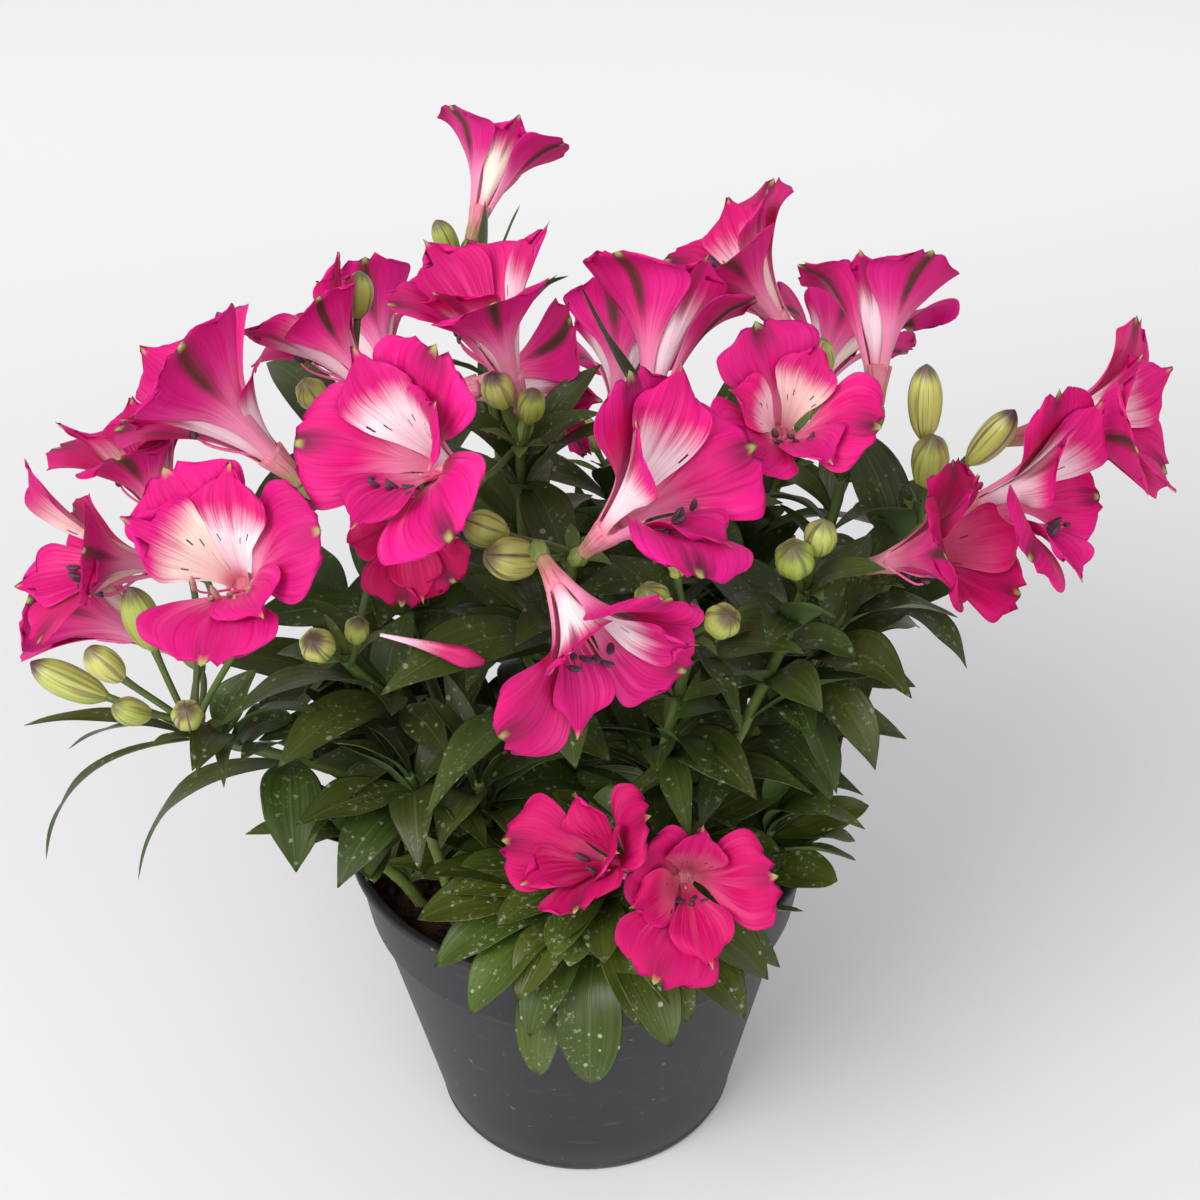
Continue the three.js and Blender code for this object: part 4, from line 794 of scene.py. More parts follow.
def drillDrain(pot, angle):
    p = potShape
    bpy.ops.mesh.primitive_cylinder_add(
        vertices=p["drainSides"], radius=p["drain"] * mm, depth=p["drill"] * mm,
        location=(math.cos(angle) * p["drainCircle"] * mm, math.sin(angle) * p["drainCircle"] * mm, 0.002))
    drill = bpy.context.object
    cut = pot.modifiers.new("drain", "BOOLEAN")
    cut.operation = "DIFFERENCE"
    cut.object = drill
    cut.solver = "EXACT"
    bpy.context.view_layer.update()
    done = bpy.data.meshes.new_from_object(pot.evaluated_get(bpy.context.evaluated_depsgraph_get()))
    pot.modifiers.clear()
    pot.data = done
    bpy.data.objects.remove(drill)


def makePot():
    p = potShape
    profile = potProfile(p)
    angles = np.arange(p["sides"]) * 2 * math.pi / p["sides"]
    verts = [[0, 0, profile[0][1]]]
    for radius, z in profile[1:-1]:
        wobble = 0 * angles
        if radius > p["collar"]:
            wobble = p["wobble"] * np.cos(2 * angles + 0.6) * (z / p["height"]) ** 2
        verts += ringAt(radius + wobble, angles, z)
    verts.append([0, 0, profile[-1][1]])
    bag = newBag()
    pour(bag, np.array(verts), turnedFaces(len(profile) - 2, p["sides"], True), potSkin, potTint, potTint)
    pot = makePiece("nursery_pot", bag, [potSkin], "pot")
    for i in range(p["drains"]):
        drillDrain(pot, (i + 0.5) * 2 * math.pi / p["drains"])

makePot()
print("pot made")


# soil

soilShape = {
    "level": 115, "gap": 0.5, "heap": 13, "heapAngle": 5, "heapSpread": 26, "rings": 46, "sides": 150,
    "grain": 0.35, "dark": (0.03, 0.014, 0.01),
    "ripples": [(1.2, 0.07), (0.8, 0.17), (0.5, 0.38), (0.3, 0.8)],
}
crumbShape = {"count": 900, "size": (0.7, 2.4), "uneven": (0.6, 1.25), "tint": (0.055, 0.028, 0.018)}
fibreShape = {"count": 260, "length": (4, 13), "radius": (0.15, 0.35), "tint": (0.2, 0.11, 0.06)}


def innerRadius(z):
    p = potShape
    zs = [p["floor"], p["collarZ"] - 4, p["collarZ"], p["height"] - 0.9]
    return np.interp(z, zs, [p["base"], p["body"], p["collar"], p["lip"]]) - p["wall"]


def soilTop(x, y):
    p = soilShape
    off = (np.degrees(np.arctan2(y, x)) - p["heapAngle"] + 540) % 360 - 180
    heap = p["heap"] * np.exp(-((off / p["heapSpread"]) ** 2)) * (np.hypot(x, y) / potShape["rim"]) ** 6
    rough = sum(a * np.sin(x * k + 1.7 * i + 2 * np.sin(y * k * 0.7)) * np.cos(y * k * 1.1 + 0.6 * i)
                for i, (a, k) in enumerate(p["ripples"]))
    return p["level"] + heap + rough


def addCrumbs(bag, rng, reach):  # small uneven lumps sunk into the top
    p = crumbShape
    g = (1 + 5**0.5) / 2
    ball = unit(np.array([
        (-1, g, 0), (1, g, 0), (-1, -g, 0), (1, -g, 0), (0, -1, g), (0, 1, g),
        (0, -1, -g), (0, 1, -g), (g, 0, -1), (g, 0, 1), (-g, 0, -1), (-g, 0, 1)], float))
    sides = [(0, 11, 5), (0, 5, 1), (0, 1, 7), (0, 7, 10), (0, 10, 11), (1, 5, 9), (5, 11, 4), (11, 10, 2),
             (10, 7, 6), (7, 1, 8), (3, 9, 4), (3, 4, 2), (3, 2, 6), (3, 6, 8), (3, 8, 9), (4, 9, 5),
             (2, 4, 11), (6, 2, 10), (8, 6, 7), (9, 8, 1)]
    for _ in range(p["count"]):
        radius = (reach - 3) * math.sqrt(rng.random())
        if rng.random() < 0.5:
            radius = (reach - 3) * (0.75 + 0.25 * rng.random())
        angle = rng.random() * 2 * math.pi
        x, y = radius * math.cos(angle), radius * math.sin(angle)
        size = rng.uniform(*p["size"])
        lump = ball * size * rng.uniform(*p["uneven"], (12, 1)) * rng.uniform(0.7, 1.2, 3)
        tint = vec(p["tint"]) * rng.uniform(0.5, 1.6)
        pour(bag, lump + [x, y, soilTop(x, y) + size * 0.2], sides, soilSkin, tint, soilShape["dark"])


def addFibres(bag, rng, reach):
    p = fibreShape
    u = np.linspace(0, 1, 6)
    for _ in range(p["count"]):
        radius = (reach - 6) * math.sqrt(rng.random())
        angle = rng.random() * 2 * math.pi
        start = np.array([radius * math.cos(angle), radius * math.sin(angle)])
        heading = rng.random() * 2 * math.pi
        length = rng.uniform(*p["length"])
        turn = heading + rng.uniform(-1, 1) * u
        xy = start + np.stack([np.cos(turn), np.sin(turn)], 1) * (u * length)[:, None]
        if np.hypot(*xy[-1]) > reach - 2:
            continue
        z = soilTop(xy[:, 0], xy[:, 1]) + 0.5 + rng.uniform(0, 1.5) * np.sin(u * 3)
        tint = vec(p["tint"]) * rng.uniform(0.3, 1.2)
        addTube(bag, np.column_stack([xy, z]), rng.uniform(*p["radius"]), 4, 0, soilSkin, tint, tint)


def makeSoil():
    p = soilShape
    reach = innerRadius(p["level"]) - p["gap"]
    angles = np.arange(p["sides"]) * 2 * math.pi / p["sides"]
    rng = np.random.default_rng(11)
    verts = [[0, 0, soilTop(0.0, 0.0)]]
    for i in range(1, p["rings"] + 1):
        radius = reach * (i / p["rings"]) ** 0.8
        x, y = radius * np.cos(angles), radius * np.sin(angles)
        z = soilTop(x, y) + rng.normal(0, p["grain"], p["sides"])
        limit = innerRadius(z) - p["gap"]
        scale = np.minimum(1, limit / radius) if i == p["rings"] else 1
        verts += np.stack([x * scale, y * scale, z], 1).tolist()
    bottom = potShape["floor"] + 0.4
    for z in (potShape["collarZ"] - 4, bottom):
        verts += ringAt(innerRadius(z) - p["gap"], angles, z)
    verts.append([0, 0, bottom])
    bag = newBag()
    faces = turnedFaces(p["rings"] + 2, p["sides"], False)
    pour(bag, np.array(verts), faces, soilSkin, p["dark"], p["dark"])
    addCrumbs(bag, rng, reach)
    addFibres(bag, rng, reach)
    makePiece("potting_soil", bag, [soilSkin], "soil")

makeSoil()
print("soil made")


# leaves

leafShape = {
    "long": [(0, 0.1), (0.1, 0.26), (0.26, 0.72), (0.4, 0.94), (0.52, 1), (0.66, 0.9), (0.78, 0.67),
             (0.9, 0.33), (1, 0.02)],
    "oval": [(0, 0.14), (0.12, 0.22), (0.34, 0.7), (0.5, 0.93), (0.62, 1), (0.75, 0.92), (0.86, 0.68),
             (0.94, 0.4), (1, 0.03)],
    "small": [(0, 0.12), (0.15, 0.46), (0.36, 0.93), (0.5, 1), (0.7, 0.82), (0.88, 0.4), (1, 0.02)],
    "rows": {"long": [0.26, 0.52, 0.78], "oval": [0.34, 0.62, 0.86], "small": [0.36, 0.7]},
    "fold": 0.22, "thick": 0.55, "narrow": 16, "steps": 20, "across": 9, "twist": 26,
    "dark": (0.036, 0.058, 0.011), "mid": (0.056, 0.084, 0.012), "bract": (0.09, 0.14, 0.035),
    "rib": (0.11, 0.15, 0.045),
}
ovalStems = ["stem_rosette", "shoot_front_right", "shoot_rim_right", "shoot_rim_left"]


def leafSpine(root, tip, arch):
    chord = tip - root
    side = np.cross(unit(chord), up)
    side = unit(side) if np.linalg.norm(side) >= 0.05 else np.array([1.0, 0, 0])
    return root + chord * 0.5 + np.cross(side, unit(chord)) * 2 * arch, side


def onLeaf(root, bend, tip, s):
    s = np.asarray(s, float)[..., None]
    return (1 - s) ** 2 * root + 2 * (1 - s) * s * bend + s * s * tip


def bentTip(root, tip, turn, lift, share):
    reach = turnAbout(tip - root, up, turn)
    level = unit(np.array([reach[1], -reach[0], 0.0]))
    lean = math.degrees(math.asin(max(-1, min(1, reach[2] / np.linalg.norm(reach)))))
    return root + turnAbout(reach, level, min(lift, 85 - lean)) * share


def addLeaf(bag, root, tip, width, arch, roll, kind, seed, tint, spots):
    p = leafShape
    bend, side = leafSpine(root, tip, arch)
    ahead = unit(tip - root)
    twist = p["twist"] * (draw(seed + 3) - 0.5)
    s = np.linspace(0, 1, p["steps"]) ** 0.9
    t = np.sin(np.linspace(-1, 1, p["across"]) * math.pi / 2)
    line = onLeaf(root, bend, tip, s)
    tangent = unit(np.gradient(line, axis=0))
    half = outlineAt(p[kind], s) * width / 2
    phase = 6.3 * draw(seed + 1)
    top = np.zeros((len(s), len(t), 3))
    for i, share in enumerate(s):
        across = turnAbout(side, ahead, roll + twist * (share - 0.4))
        normal = unit(np.cross(across, tangent[i]))
        lift = p["fold"] * half[i] * np.abs(t) ** 1.4
        ripple = 0.05 * width * math.sin(share * 9 + phase) * t
        wave = (ripple + 0.03 * width * np.sin(share * 14 + phase + 2 * t)) * np.abs(t)
        wave = wave * min(1, 4 * share * (1 - share))
        top[i] = line[i] + np.outer(half[i] * t, across) + np.outer(lift + wave, normal)
    grid = np.meshgrid(s, t, indexing="ij")
    thick = p["thick"] * (1 - 0.7 * np.abs(grid[1]) ** 2) * (1 - 0.5 * grid[0])
    shade = 0.75 + 0.5 * draw(seed)
    warm = 0.9 + 0.3 * draw(seed + 2)
    tint = vec(tint) * [shade * warm, shade, shade]
    addSheet(bag, top, thick, grid[0], grid[1], seed * 0.37 % 50, (spots, 0, 0), tint, p["rib"], leafSkin)


# which of the listed bends a blade of the solids took: the one whose midrib lies on the solid


def treeOf(nodes):
    verts, faces = [], []
    for node in nodes:
        start = len(verts)
        verts += [list(v.co) for v in node.data.vertices]
        faces += [[i + start for i in f.vertices] for f in node.data.polygons]
    return BVHTree.FromPolygons(verts, faces)

trees = {name: treeOf([node]) for name, node in cadNodes.items()}
allTree = treeOf(cadNodes.values())


def farFrom(tree, point):
    return tree.find_nearest(Vector(vec(point) * mm))[3] / mm


def chosen(name, options, pointsOf, tolerance=0.2):
    for option in options:
        far = sorted(farFrom(trees[name], point) for point in pointsOf(option))
        if far[len(far) // 2] < tolerance:
            return option
    return None


def solidLeaf(node, root, tip, arch, kind):
    def rowsOf(option):
        end = bentTip(root, tip, *option)
        return onLeaf(root, leafSpine(root, end, arch)[0], end, leafShape["rows"][kind] + [1.0])
    option = chosen(node, bends, rowsOf)
    return bentTip(root, tip, *option) if option else None


# stems with their leaves, flower stalks and buds

stemShape = {
    "footZ": 94, "radius": 2.5, "topRadius": 1.7, "sides": 14, "head": 0.985, "steps": 60, "knotEvery": 11,
    "pale": (0.16, 0.22, 0.05), "top": (0.085, 0.13, 0.03), "speck": (0.09, 0.05, 0.03),
}
stalkShape = {
    "radius": 1.15, "sides": 10, "ovary": 9, "ovaryRadius": 2.9, "ovaryStart": 0.3, "seatGap": 0.35,
    "ovaryTint": (0.17, 0.25, 0.05), "ovaryLine": (0.1, 0.12, 0.02), "budStart": 0.12, "budLift": 0.25,
}
budShape = {
    "foot": [(0, 1.3), (0.05, 2.2)],
    "profile": [(0.16, 0.36), (0.3, 0.45), (0.48, 0.5), (0.66, 0.485), (0.82, 0.38), (0.93, 0.22), (1, 0.04)],
    "green": (0.50, 0.52, 0.14), "lime": (0.28, 0.36, 0.05), "stripe": (0.09, 0.05, 0.03),
    "purple": (0.16, 0.03, 0.07), "sides": 24,
}


def stalkCurve(head, end, axis, bow):
    reach = np.linalg.norm(end - head)
    return curveOf([head, head + (end - head) * 0.3 + vec(bow), end - axis * 0.4 * reach, end])


def solidStalk(node, head, end, axis, thinTo):
    best = None
    for bow in bows:
        curve = stalkCurve(head, end, axis, bow)
        far = np.mean([farFrom(trees[node], along(curve, x * thinTo)) for x in (0.35, 0.5, 0.65, 0.8)])
        if best is None or far < best[0] - 0.05:
            best = (far, curve)
    return best[1]


def bloomAxes(row):
    axis = aim(math.radians(row[2]), math.radians(row[3]))
    return axis, unit(up - axis * axis[2])


def addStem(bag, name, points):
    p = stemShape
    foot, low, high, head = points
    curve = curveOf([[foot[0], foot[1], p["footZ"]], low, high, head])
    share = np.linspace(0.004, 1, p["steps"])
    radii = p["radius"] + (p["topRadius"] - p["radius"]) * share
    turns = share * curve["lengths"][-1] / p["knotEvery"] * 2 * math.pi
    radii = radii * (1 + 0.12 * np.maximum(0, np.cos(turns)) ** 6)
    tints = vec(p["pale"]) + smooth(share, 0.45, 0.95)[:, None] * (vec(p["top"]) - vec(p["pale"]))
    addTube(bag, along(curve, share), radii, p["sides"], len(name) * 1.3, stemSkin, tints, p["speck"])
    return curve


def addStalk(bag, curve, share, radii, seed):
    green, speck = stemShape["top"], stemShape["speck"]
    addTube(bag, along(curve, share), radii, stalkShape["sides"], seed, stemSkin, green, speck)


def addBud(bag, name, head, row, seed):
    p, b = stalkShape, budShape
    tip, length, width = row
    end = vec(tip)
    axis = unit(unit(end - head) + up * p["budLift"])
    start = max(p["budStart"], 1 - length / np.linalg.norm(end - head))
    curve = solidStalk(name, head, end, axis, start)
    share = np.linspace(0, start + 0.02, 12)
    addStalk(bag, curve, share, p["radius"] + 0.25 * smooth(share, start - 0.1, start), seed)
    u = np.linspace(0, 1, 26) ** 0.95
    radii = outlineAt(b["foot"] + [(x, y * width) for x, y in b["profile"]], u)
    lime = draw(seed)
    tint = vec(b["green"]) * lime + vec(b["lime"]) * (1 - lime)
    stripe = b["purple"] if width < 10.5 and draw(seed + 1) > 0.4 else b["stripe"]
    marks = (0.55 + 0.4 * draw(seed + 2), 0.5 + 0.5 * draw(seed + 3), 0)
    centres = along(curve, start + (1 - start) * u)
    addTube(bag, centres, radii, b["sides"], seed + 0.5, budSkin, tint, stripe, marks, (6, 0.045))


def addOvary(bag, name, head, row, seed):
    p = stalkShape
    axis, _ = bloomAxes(row)
    end = vec(row[1]) - axis * p["seatGap"]
    start = max(p["ovaryStart"], 1 - p["ovary"] / np.linalg.norm(end - head))
    curve = solidStalk(name, head, end, axis, start)
    addStalk(bag, curve, np.linspace(0, start + 0.02, 14), p["radius"], seed)
    u = np.linspace(0, 1, 16)
    r = p["ovaryRadius"]
    radii = outlineAt([(0, 1.2), (0.2, 2.0), (0.55, r), (0.85, r * 0.95), (1, r * 0.82)], u)
    centres = along(curve, start + (1 - start) * u)
    addTube(bag, centres, radii, budShape["sides"], seed, budSkin, p["ovaryTint"], p["ovaryLine"],
            (0.25, 0, 0), (6, 0.09))


# the thinner leaves between those of the solids, only where there is room

fillers = []
fillShape = {
    "usual": {"count": 18, "tries": 260, "length": (30, 66), "width": (10, 18), "gap": 1.2,
              "heading": (0, 360), "rise": (-15, 60)},
    "rosette": {"count": 26, "tries": 500, "length": (30, 50), "width": (13, 19), "gap": 0.8,
                "heading": (170, 370), "rise": (-38, 45)},
    "soilZ": 122, "rimZ": 70, "rim": 90,
}
# more leaves of the low stem, which rest on those of the solids: share of the stem, tip, width, arch
restingLeaves = [
    [0.95, [-38, -85, 172], 17, 8], [0.97, [-40, -72, 174], 16, 8], [1, [-26, -100, 166], 17, 8],
    [0.96, [-15, -93, 172], 15, 8], [1, [-6, -106, 158], 15, 8], [0.98, [8, -108, 156], 16, 8],
    [0.9, [-20, -108, 140], 18, 12], [0.9, [36, -104, 126], 19, 12], [0.86, [19, -106, 120], 19, 14],
    [0.9, [67, -82, 128], 19, 12], [0.95, [48, -68, 166], 18, 8], [0.9, [-48, -92, 140], 18, 12],
    [0.95, [30, -60, 176], 18, 6], [0.95, [12, -56, 182], 18, 5], [0.97, [-8, -54, 184], 18, 5],
    [0.97, [46, -50, 176], 18, 5], [0.92, [-30, -50, 176], 18, 6], [0.92, [-52, -72, 160], 18, 9],
]
restingLifts = (0, 3, 6, 9, 12, 16, -4, -8)


def hasRoom(points, gap):
    low, high = np.array(cadBox[0]) / mm + 2, np.array(cadBox[1]) / mm - 2
    if any((p < low).any() or (p > high).any() for p in points):
        return False
    if any(farFrom(allTree, p) < gap for p in points):
        return False
    if fillers:
        near = np.linalg.norm(np.array(fillers)[None] - np.array(points)[:, None], axis=-1).min()
        return near > gap + 1.0
    return True


def addFillers(bag, name, curve, index, tint, spots):
    p = fillShape["rosette" if name == "stem_rosette" else "usual"]
    rng = np.random.default_rng(400 + index)
    kind = "oval" if name in ovalStems else "small"
    done = 0
    for _ in range(p["tries"]):
        share = rng.uniform(0.3, 0.97)
        root = along(curve, share)
        heading, rise = np.radians(rng.uniform(*p["heading"])), np.radians(rng.uniform(*p["rise"]))
        length = rng.uniform(*p["length"]) * (1.1 - 0.4 * share)
        tip = root + length * aim(heading, rise)
        arch = rng.uniform(3, 9)
        points = list(onLeaf(root, leafSpine(root, tip, arch)[0], tip, [0.3, 0.45, 0.6, 0.75, 0.9, 1.0]))
        if tip[0] < -28 and tip[1] < -20 and tip[2] < 165 and name != "stem_rosette":
            continue  # the soil shows at the front left
        lowest = fillShape["soilZ"] if np.hypot(*tip[:2]) < fillShape["rim"] else fillShape["rimZ"]
        if tip[2] > lowest and hasRoom(points, p["gap"]):
            fillers.extend(points)
            width, roll = rng.uniform(*p["width"]), rng.uniform(-30, 30)
            addLeaf(bag, root, tip, width, arch, roll, kind, 7000 + index * 100 + done, tint, spots)
            done += 1
            if done >= p["count"]:
                break
    return done


def addRestingLeaves(bag, curve, tint, spots):
    done = 0
    for k, (share, tip, width, arch) in enumerate(restingLeaves):
        root = along(curve, share)
        for lift in restingLifts:
            end = vec(tip) + [0, 0, lift]
            points = list(onLeaf(root, leafSpine(root, end, arch)[0], end, [0.45, 0.6, 0.75, 0.9, 1.0]))
            if hasRoom(points, 0.7):
                fillers.extend(points)
                roll = 16 * (draw(k + 50) - 0.5)
                addLeaf(bag, root, end, width, arch, roll, "oval", 8000 + k * 5, tint, spots)
                done += 1
                break
    return done


def addBracts(bag, head, index):
    for i in range(5):
        seed = 5000 + index * 20 + i * 4
        heading = math.radians(index * 53 + i * 72 + 30 * draw(seed))
        rise = math.radians(10 + 50 * draw(seed + 1))
        tip = head + (9 + 12 * draw(seed + 2)) * aim(heading, rise)
        addLeaf(bag, head, tip, 3.5 + 2.5 * draw(seed + 3), 1.5, 0, "small", seed, leafShape["bract"], 0.3)

# in the order of the lists, since their seeds count on through all stems
handRows = [(name, *row) for name, rows in handLeaves.items() for row in rows]
budRows = [(name, row) for name, rows in buds.items() for row in rows]


def solidLeaves(name, index, curve):  # root, tip, width, arch, roll, kind in the solids, kind here and seed
    low = name in ovalStems
    rows = []
    for k, (stem, share, tip, width, arch, roll) in enumerate(handRows):
        if stem == name:
            solidKind = "small" if width < leafShape["narrow"] else ("oval" if low else "long")
            kind = "oval" if low else solidKind
            rows.append((along(curve, share), vec(tip), width, arch, roll, solidKind, kind, 100 + k * 5))
    count, start, stop, length, width = spirals.get(name, [0, 0, 0, 0, 0])
    for i in range(count):
        seed = 1000 + index * 50 + i * 4
        share = start + (stop - start) * (i + 0.5) / count
        rise = math.radians(5 + 45 * draw(seed) * share)
        reach = length * (0.8 + 0.35 * draw(seed + 1))
        root = along(curve, share)
        tip = root + reach * aim(math.radians(index * 71 + i * 137.5), rise)
        arch, roll = 4 + 8 * draw(seed + 2), 50 * (draw(seed + 3) - 0.5)
        rows.append((root, tip, width, arch, roll, "small", "small", seed))
    return rows


lost = 0
added = 0
for index, (name, points) in enumerate([*flowerStems.items(), *leafShoots.items()]):
    bag = newBag()
    curve = addStem(bag, name, points)
    tint, spots = (leafShape["mid"], 0.85) if name in ovalStems else (leafShape["dark"], 0.5)
    for root, tip, width, arch, roll, solidKind, kind, seed in solidLeaves(name, index, curve):
        end = solidLeaf(name, root, tip, arch, solidKind)
        if end is None:
            lost += 1
        else:
            addLeaf(bag, root, end, width, arch, roll, kind, seed, tint, spots)
    if name == "stem_rosette":
        print("resting leaves:", addRestingLeaves(bag, curve, tint, spots))
    added += addFillers(bag, name, curve, index, tint, spots)
    head = along(curve, stemShape["head"])
    for k, row in enumerate(blooms.values()):
        if row[0] == name:
            addOvary(bag, name, head, row, 300 + k)
    for k, (stem, row) in enumerate(budRows):
        if stem == name:
            addBud(bag, name, head, row, 600 + k * 5)
    if name in flowerStems:
        addBracts(bag, head, index)
    makePiece(name + "_leafy", bag, [leafSkin, stemSkin, budSkin], name)


# one loose petal, rolled up, that lies on the leaves

fallenPetal = {
    "line": [(-58, 0, 210), (-41, -1, 206), (-27, 0, 199)], "slope": 0.7, "from": -112, "to": -30, "gap": 1.5,
    "profile": [(0, 0.5), (0.3, 1.1), (0.6, 2.2), (0.85, 2.9), (1, 0.9)], "steps": 24, "sides": 20,
    "pale": (0.9, 0.6, 0.72), "pink": (0.52, 0.008, 0.13), "speck": (0.35, 0.004, 0.08),
}


def addFallenPetal():
    p = fallenPetal
    place = None
    for y in range(p["from"], p["to"], 2):  # from the front towards the leaves, as far as there is room
        line = np.array(p["line"], float) + [0, y, -p["slope"] * y]
        if not hasRoom(list(line), p["gap"]):
            break
        place = line
    if place is None:
        return
    bag = newBag()
    u = np.linspace(0, 1, p["steps"])
    centres = along(curveOf([place[0], place[0] * 0.6 + place[1] * 0.4, place[1], place[2]]), u)
    ramp = smooth(u, 0.1, 0.65)[:, None]
    tints = vec(p["pale"]) * (1 - ramp) + vec(p["pink"]) * ramp
    radii = outlineAt(p["profile"], u)
    addTube(bag, centres, radii, p["sides"], 4, stemSkin, tints, p["speck"], ribs=(3, 0.2))
    makePiece("fallen_tepal", bag, [stemSkin])

addFallenPetal()
print("stems made, leaves that the solids have no room for:", lost, "small leaves added:", added)


# blooms

tepalShape = {
    "outerBreadth": 0.74, "innerBreadth": 0.46, "clawStart": 9, "outerClaw": 3.2, "innerClaw": 1.8,
    "clawAngle": 14, "flare": 1.7, "pathSteps": 40, "steps": 26, "across": 17, "thick": 0.5,
    "outer": [(0, 0.1), (0.16, 0.12), (0.32, 0.2), (0.46, 0.38), (0.6, 0.7), (0.73, 0.95), (0.83, 1),
              (0.93, 0.88), (1, 0.6)],
    "inner": [(0, 0.16), (0.18, 0.2), (0.4, 0.44), (0.58, 0.78), (0.74, 1), (0.86, 0.9), (0.95, 0.6),
              (1, 0.26)],
    "outerCup": [(0, 0.5), (0.35, 0.34), (0.7, 0.15), (0.9, 0.03), (1, -0.05)],
    "innerCup": [(0, 0.6), (0.4, 0.4), (0.75, 0.25), (1, 0.05)],
    "outerRows": [0.65, 0.825, 1.0], "innerRows": [0.4, 0.75, 1.0],
}
stamenShape = {
    "number": 6, "threadSteps": 14, "threadSides": 6, "thread": 0.52, "thinning": 0.16, "podSteps": 9,
    "podSides": 10, "podRadius": 0.95, "styleSteps": 10, "style": 0.45, "droop": 3,
}
bloomLook = {
    "pink": (0.78, 0.009, 0.20), "magenta": (0.60, 0.009, 0.22), "crimson": (0.46, 0.003, 0.07),
    "foot": (0.92, 0.42, 0.60), "white": (0.96, 0.86, 0.90), "cream": (0.96, 0.90, 0.74),
    "green": (0.30, 0.30, 0.09), "throat": (0.75, 0.28, 0.33), "anther": (0.07, 0.035, 0.055),
    "tan": (0.38, 0.2, 0.16), "filament": (0.78, 0.12, 0.32), "style": (0.8, 0.25, 0.35),
}
# how a bloom differs from the usual: how crimson it is, how dark its streaks, how crumpled
bloomAge = {
    "bloom_left_low": (0.95, 0.8, 0.8), "bloom_right_low": (0.7, 0.7, 1.0), "bloom_top": (0.1, 0.9, 0.1),
    "bloom_far_left_upper": (0.35, 0.7, 0.4), "bloom_far_left": (0.3, 0.7, 0.4),
    "bloom_left_upper": (0.2, 0.9, 0.2), "bloom_left_back": (0.3, 0.8, 0.3), "bloom_nodding": (0.0, 0.6, 0.4),
    "bloom_rosette_left": (0.8, 0.6, 0.9), "bloom_rosette_right": (0.7, 0.4, 0.8),
    "bloom_middle_right": (0.2, 0.9, 0.3), "bloom_left_front": (0.0, 0.25, 0.3),
    "bloom_centre_left": (0.05, 0.8, 0.3), "bloom_centre_right": (0.05, 0.9, 0.3),
    "bloom_far_right_front": (0.15, 0.8, 0.4),
}
usualAge = (0.2, 0.8, 0.25)


def angleAt(s, openTo):
    p = tepalShape
    return np.radians(p["clawAngle"] + (openTo - p["clawAngle"]) * np.clip(s, 0, 1) ** p["flare"])


def outOf(axis, top, part):  # the direction in which a tepal leaves the bloom's axis
    turn = math.radians(part["turn"])
    return top * math.cos(turn) + np.cross(axis, top) * math.sin(turn)


def tepalSpine(seat, axis, out, size, part, fold):
    p = tepalShape
    steps = p["pathSteps"]
    angles = angleAt((np.arange(steps) + 0.5) / steps, part["open"] + fold[0])
    length = part["length"] * fold[1]
    move = (np.outer(np.cos(angles), axis) + np.outer(np.sin(angles), out)) * length / steps
    start = seat + axis * p["clawStart"] * size + out * p[part["kind"] + "Claw"] * size
    return np.concatenate([start[None], start + np.cumsum(move, axis=0)])


def onPath(path, s):
    last = len(path) - 1
    at = np.clip(s, 0, 1) * last
    return np.stack([np.interp(at, np.arange(last + 1), path[:, k]) for k in range(3)], -1)


def tepalLip(cross, outer, age, rnd):  # a shallow notch on outer tepals, a point on inner ones, then ripples
    away = np.abs(cross)
    if outer:
        lip = 0.12 * away**2.2 + 0.035 * np.exp(-(((away - 0.16) / 0.12) ** 2))
    else:
        lip = 0.2 * away**1.3
    lip = lip + (0.011 + 0.014 * age) * np.sin(cross * 13 + 6 * rnd[0])
    return lip + 0.009 * np.sin(cross * 29 + 6 * rnd[1])


def tepalLift(grid, cross, size, outer, age, rnd):  # waves, the midrib groove and the lip that rolls back
    away = np.abs(cross)
    edge = 0.9 * size * grid**2 * away**1.5 * (1 + 1.6 * age) * np.sin(grid * 10 + cross * 3.5 + 6 * rnd[3])
    across = 0.35 * size * grid * np.sin(cross * 9 + 6 * rnd[4]) * (1 - away * 0.5)
    crumple = 1.6 * age * size * grid**1.5 * np.sin(grid * 7 + 6 * rnd[5]) * np.cos(cross * 2.6 + 6 * rnd[6])
    groove = 0.5 * np.exp(-((cross / 0.12) ** 2)) * grid
    roll = 3.2 * size * (rnd[7] * 0.7 + 0.3) * smooth(grid, 0.7, 1.0) ** 1.5 * (1 if outer else 0.6)
    return edge + across + crumple - groove - roll


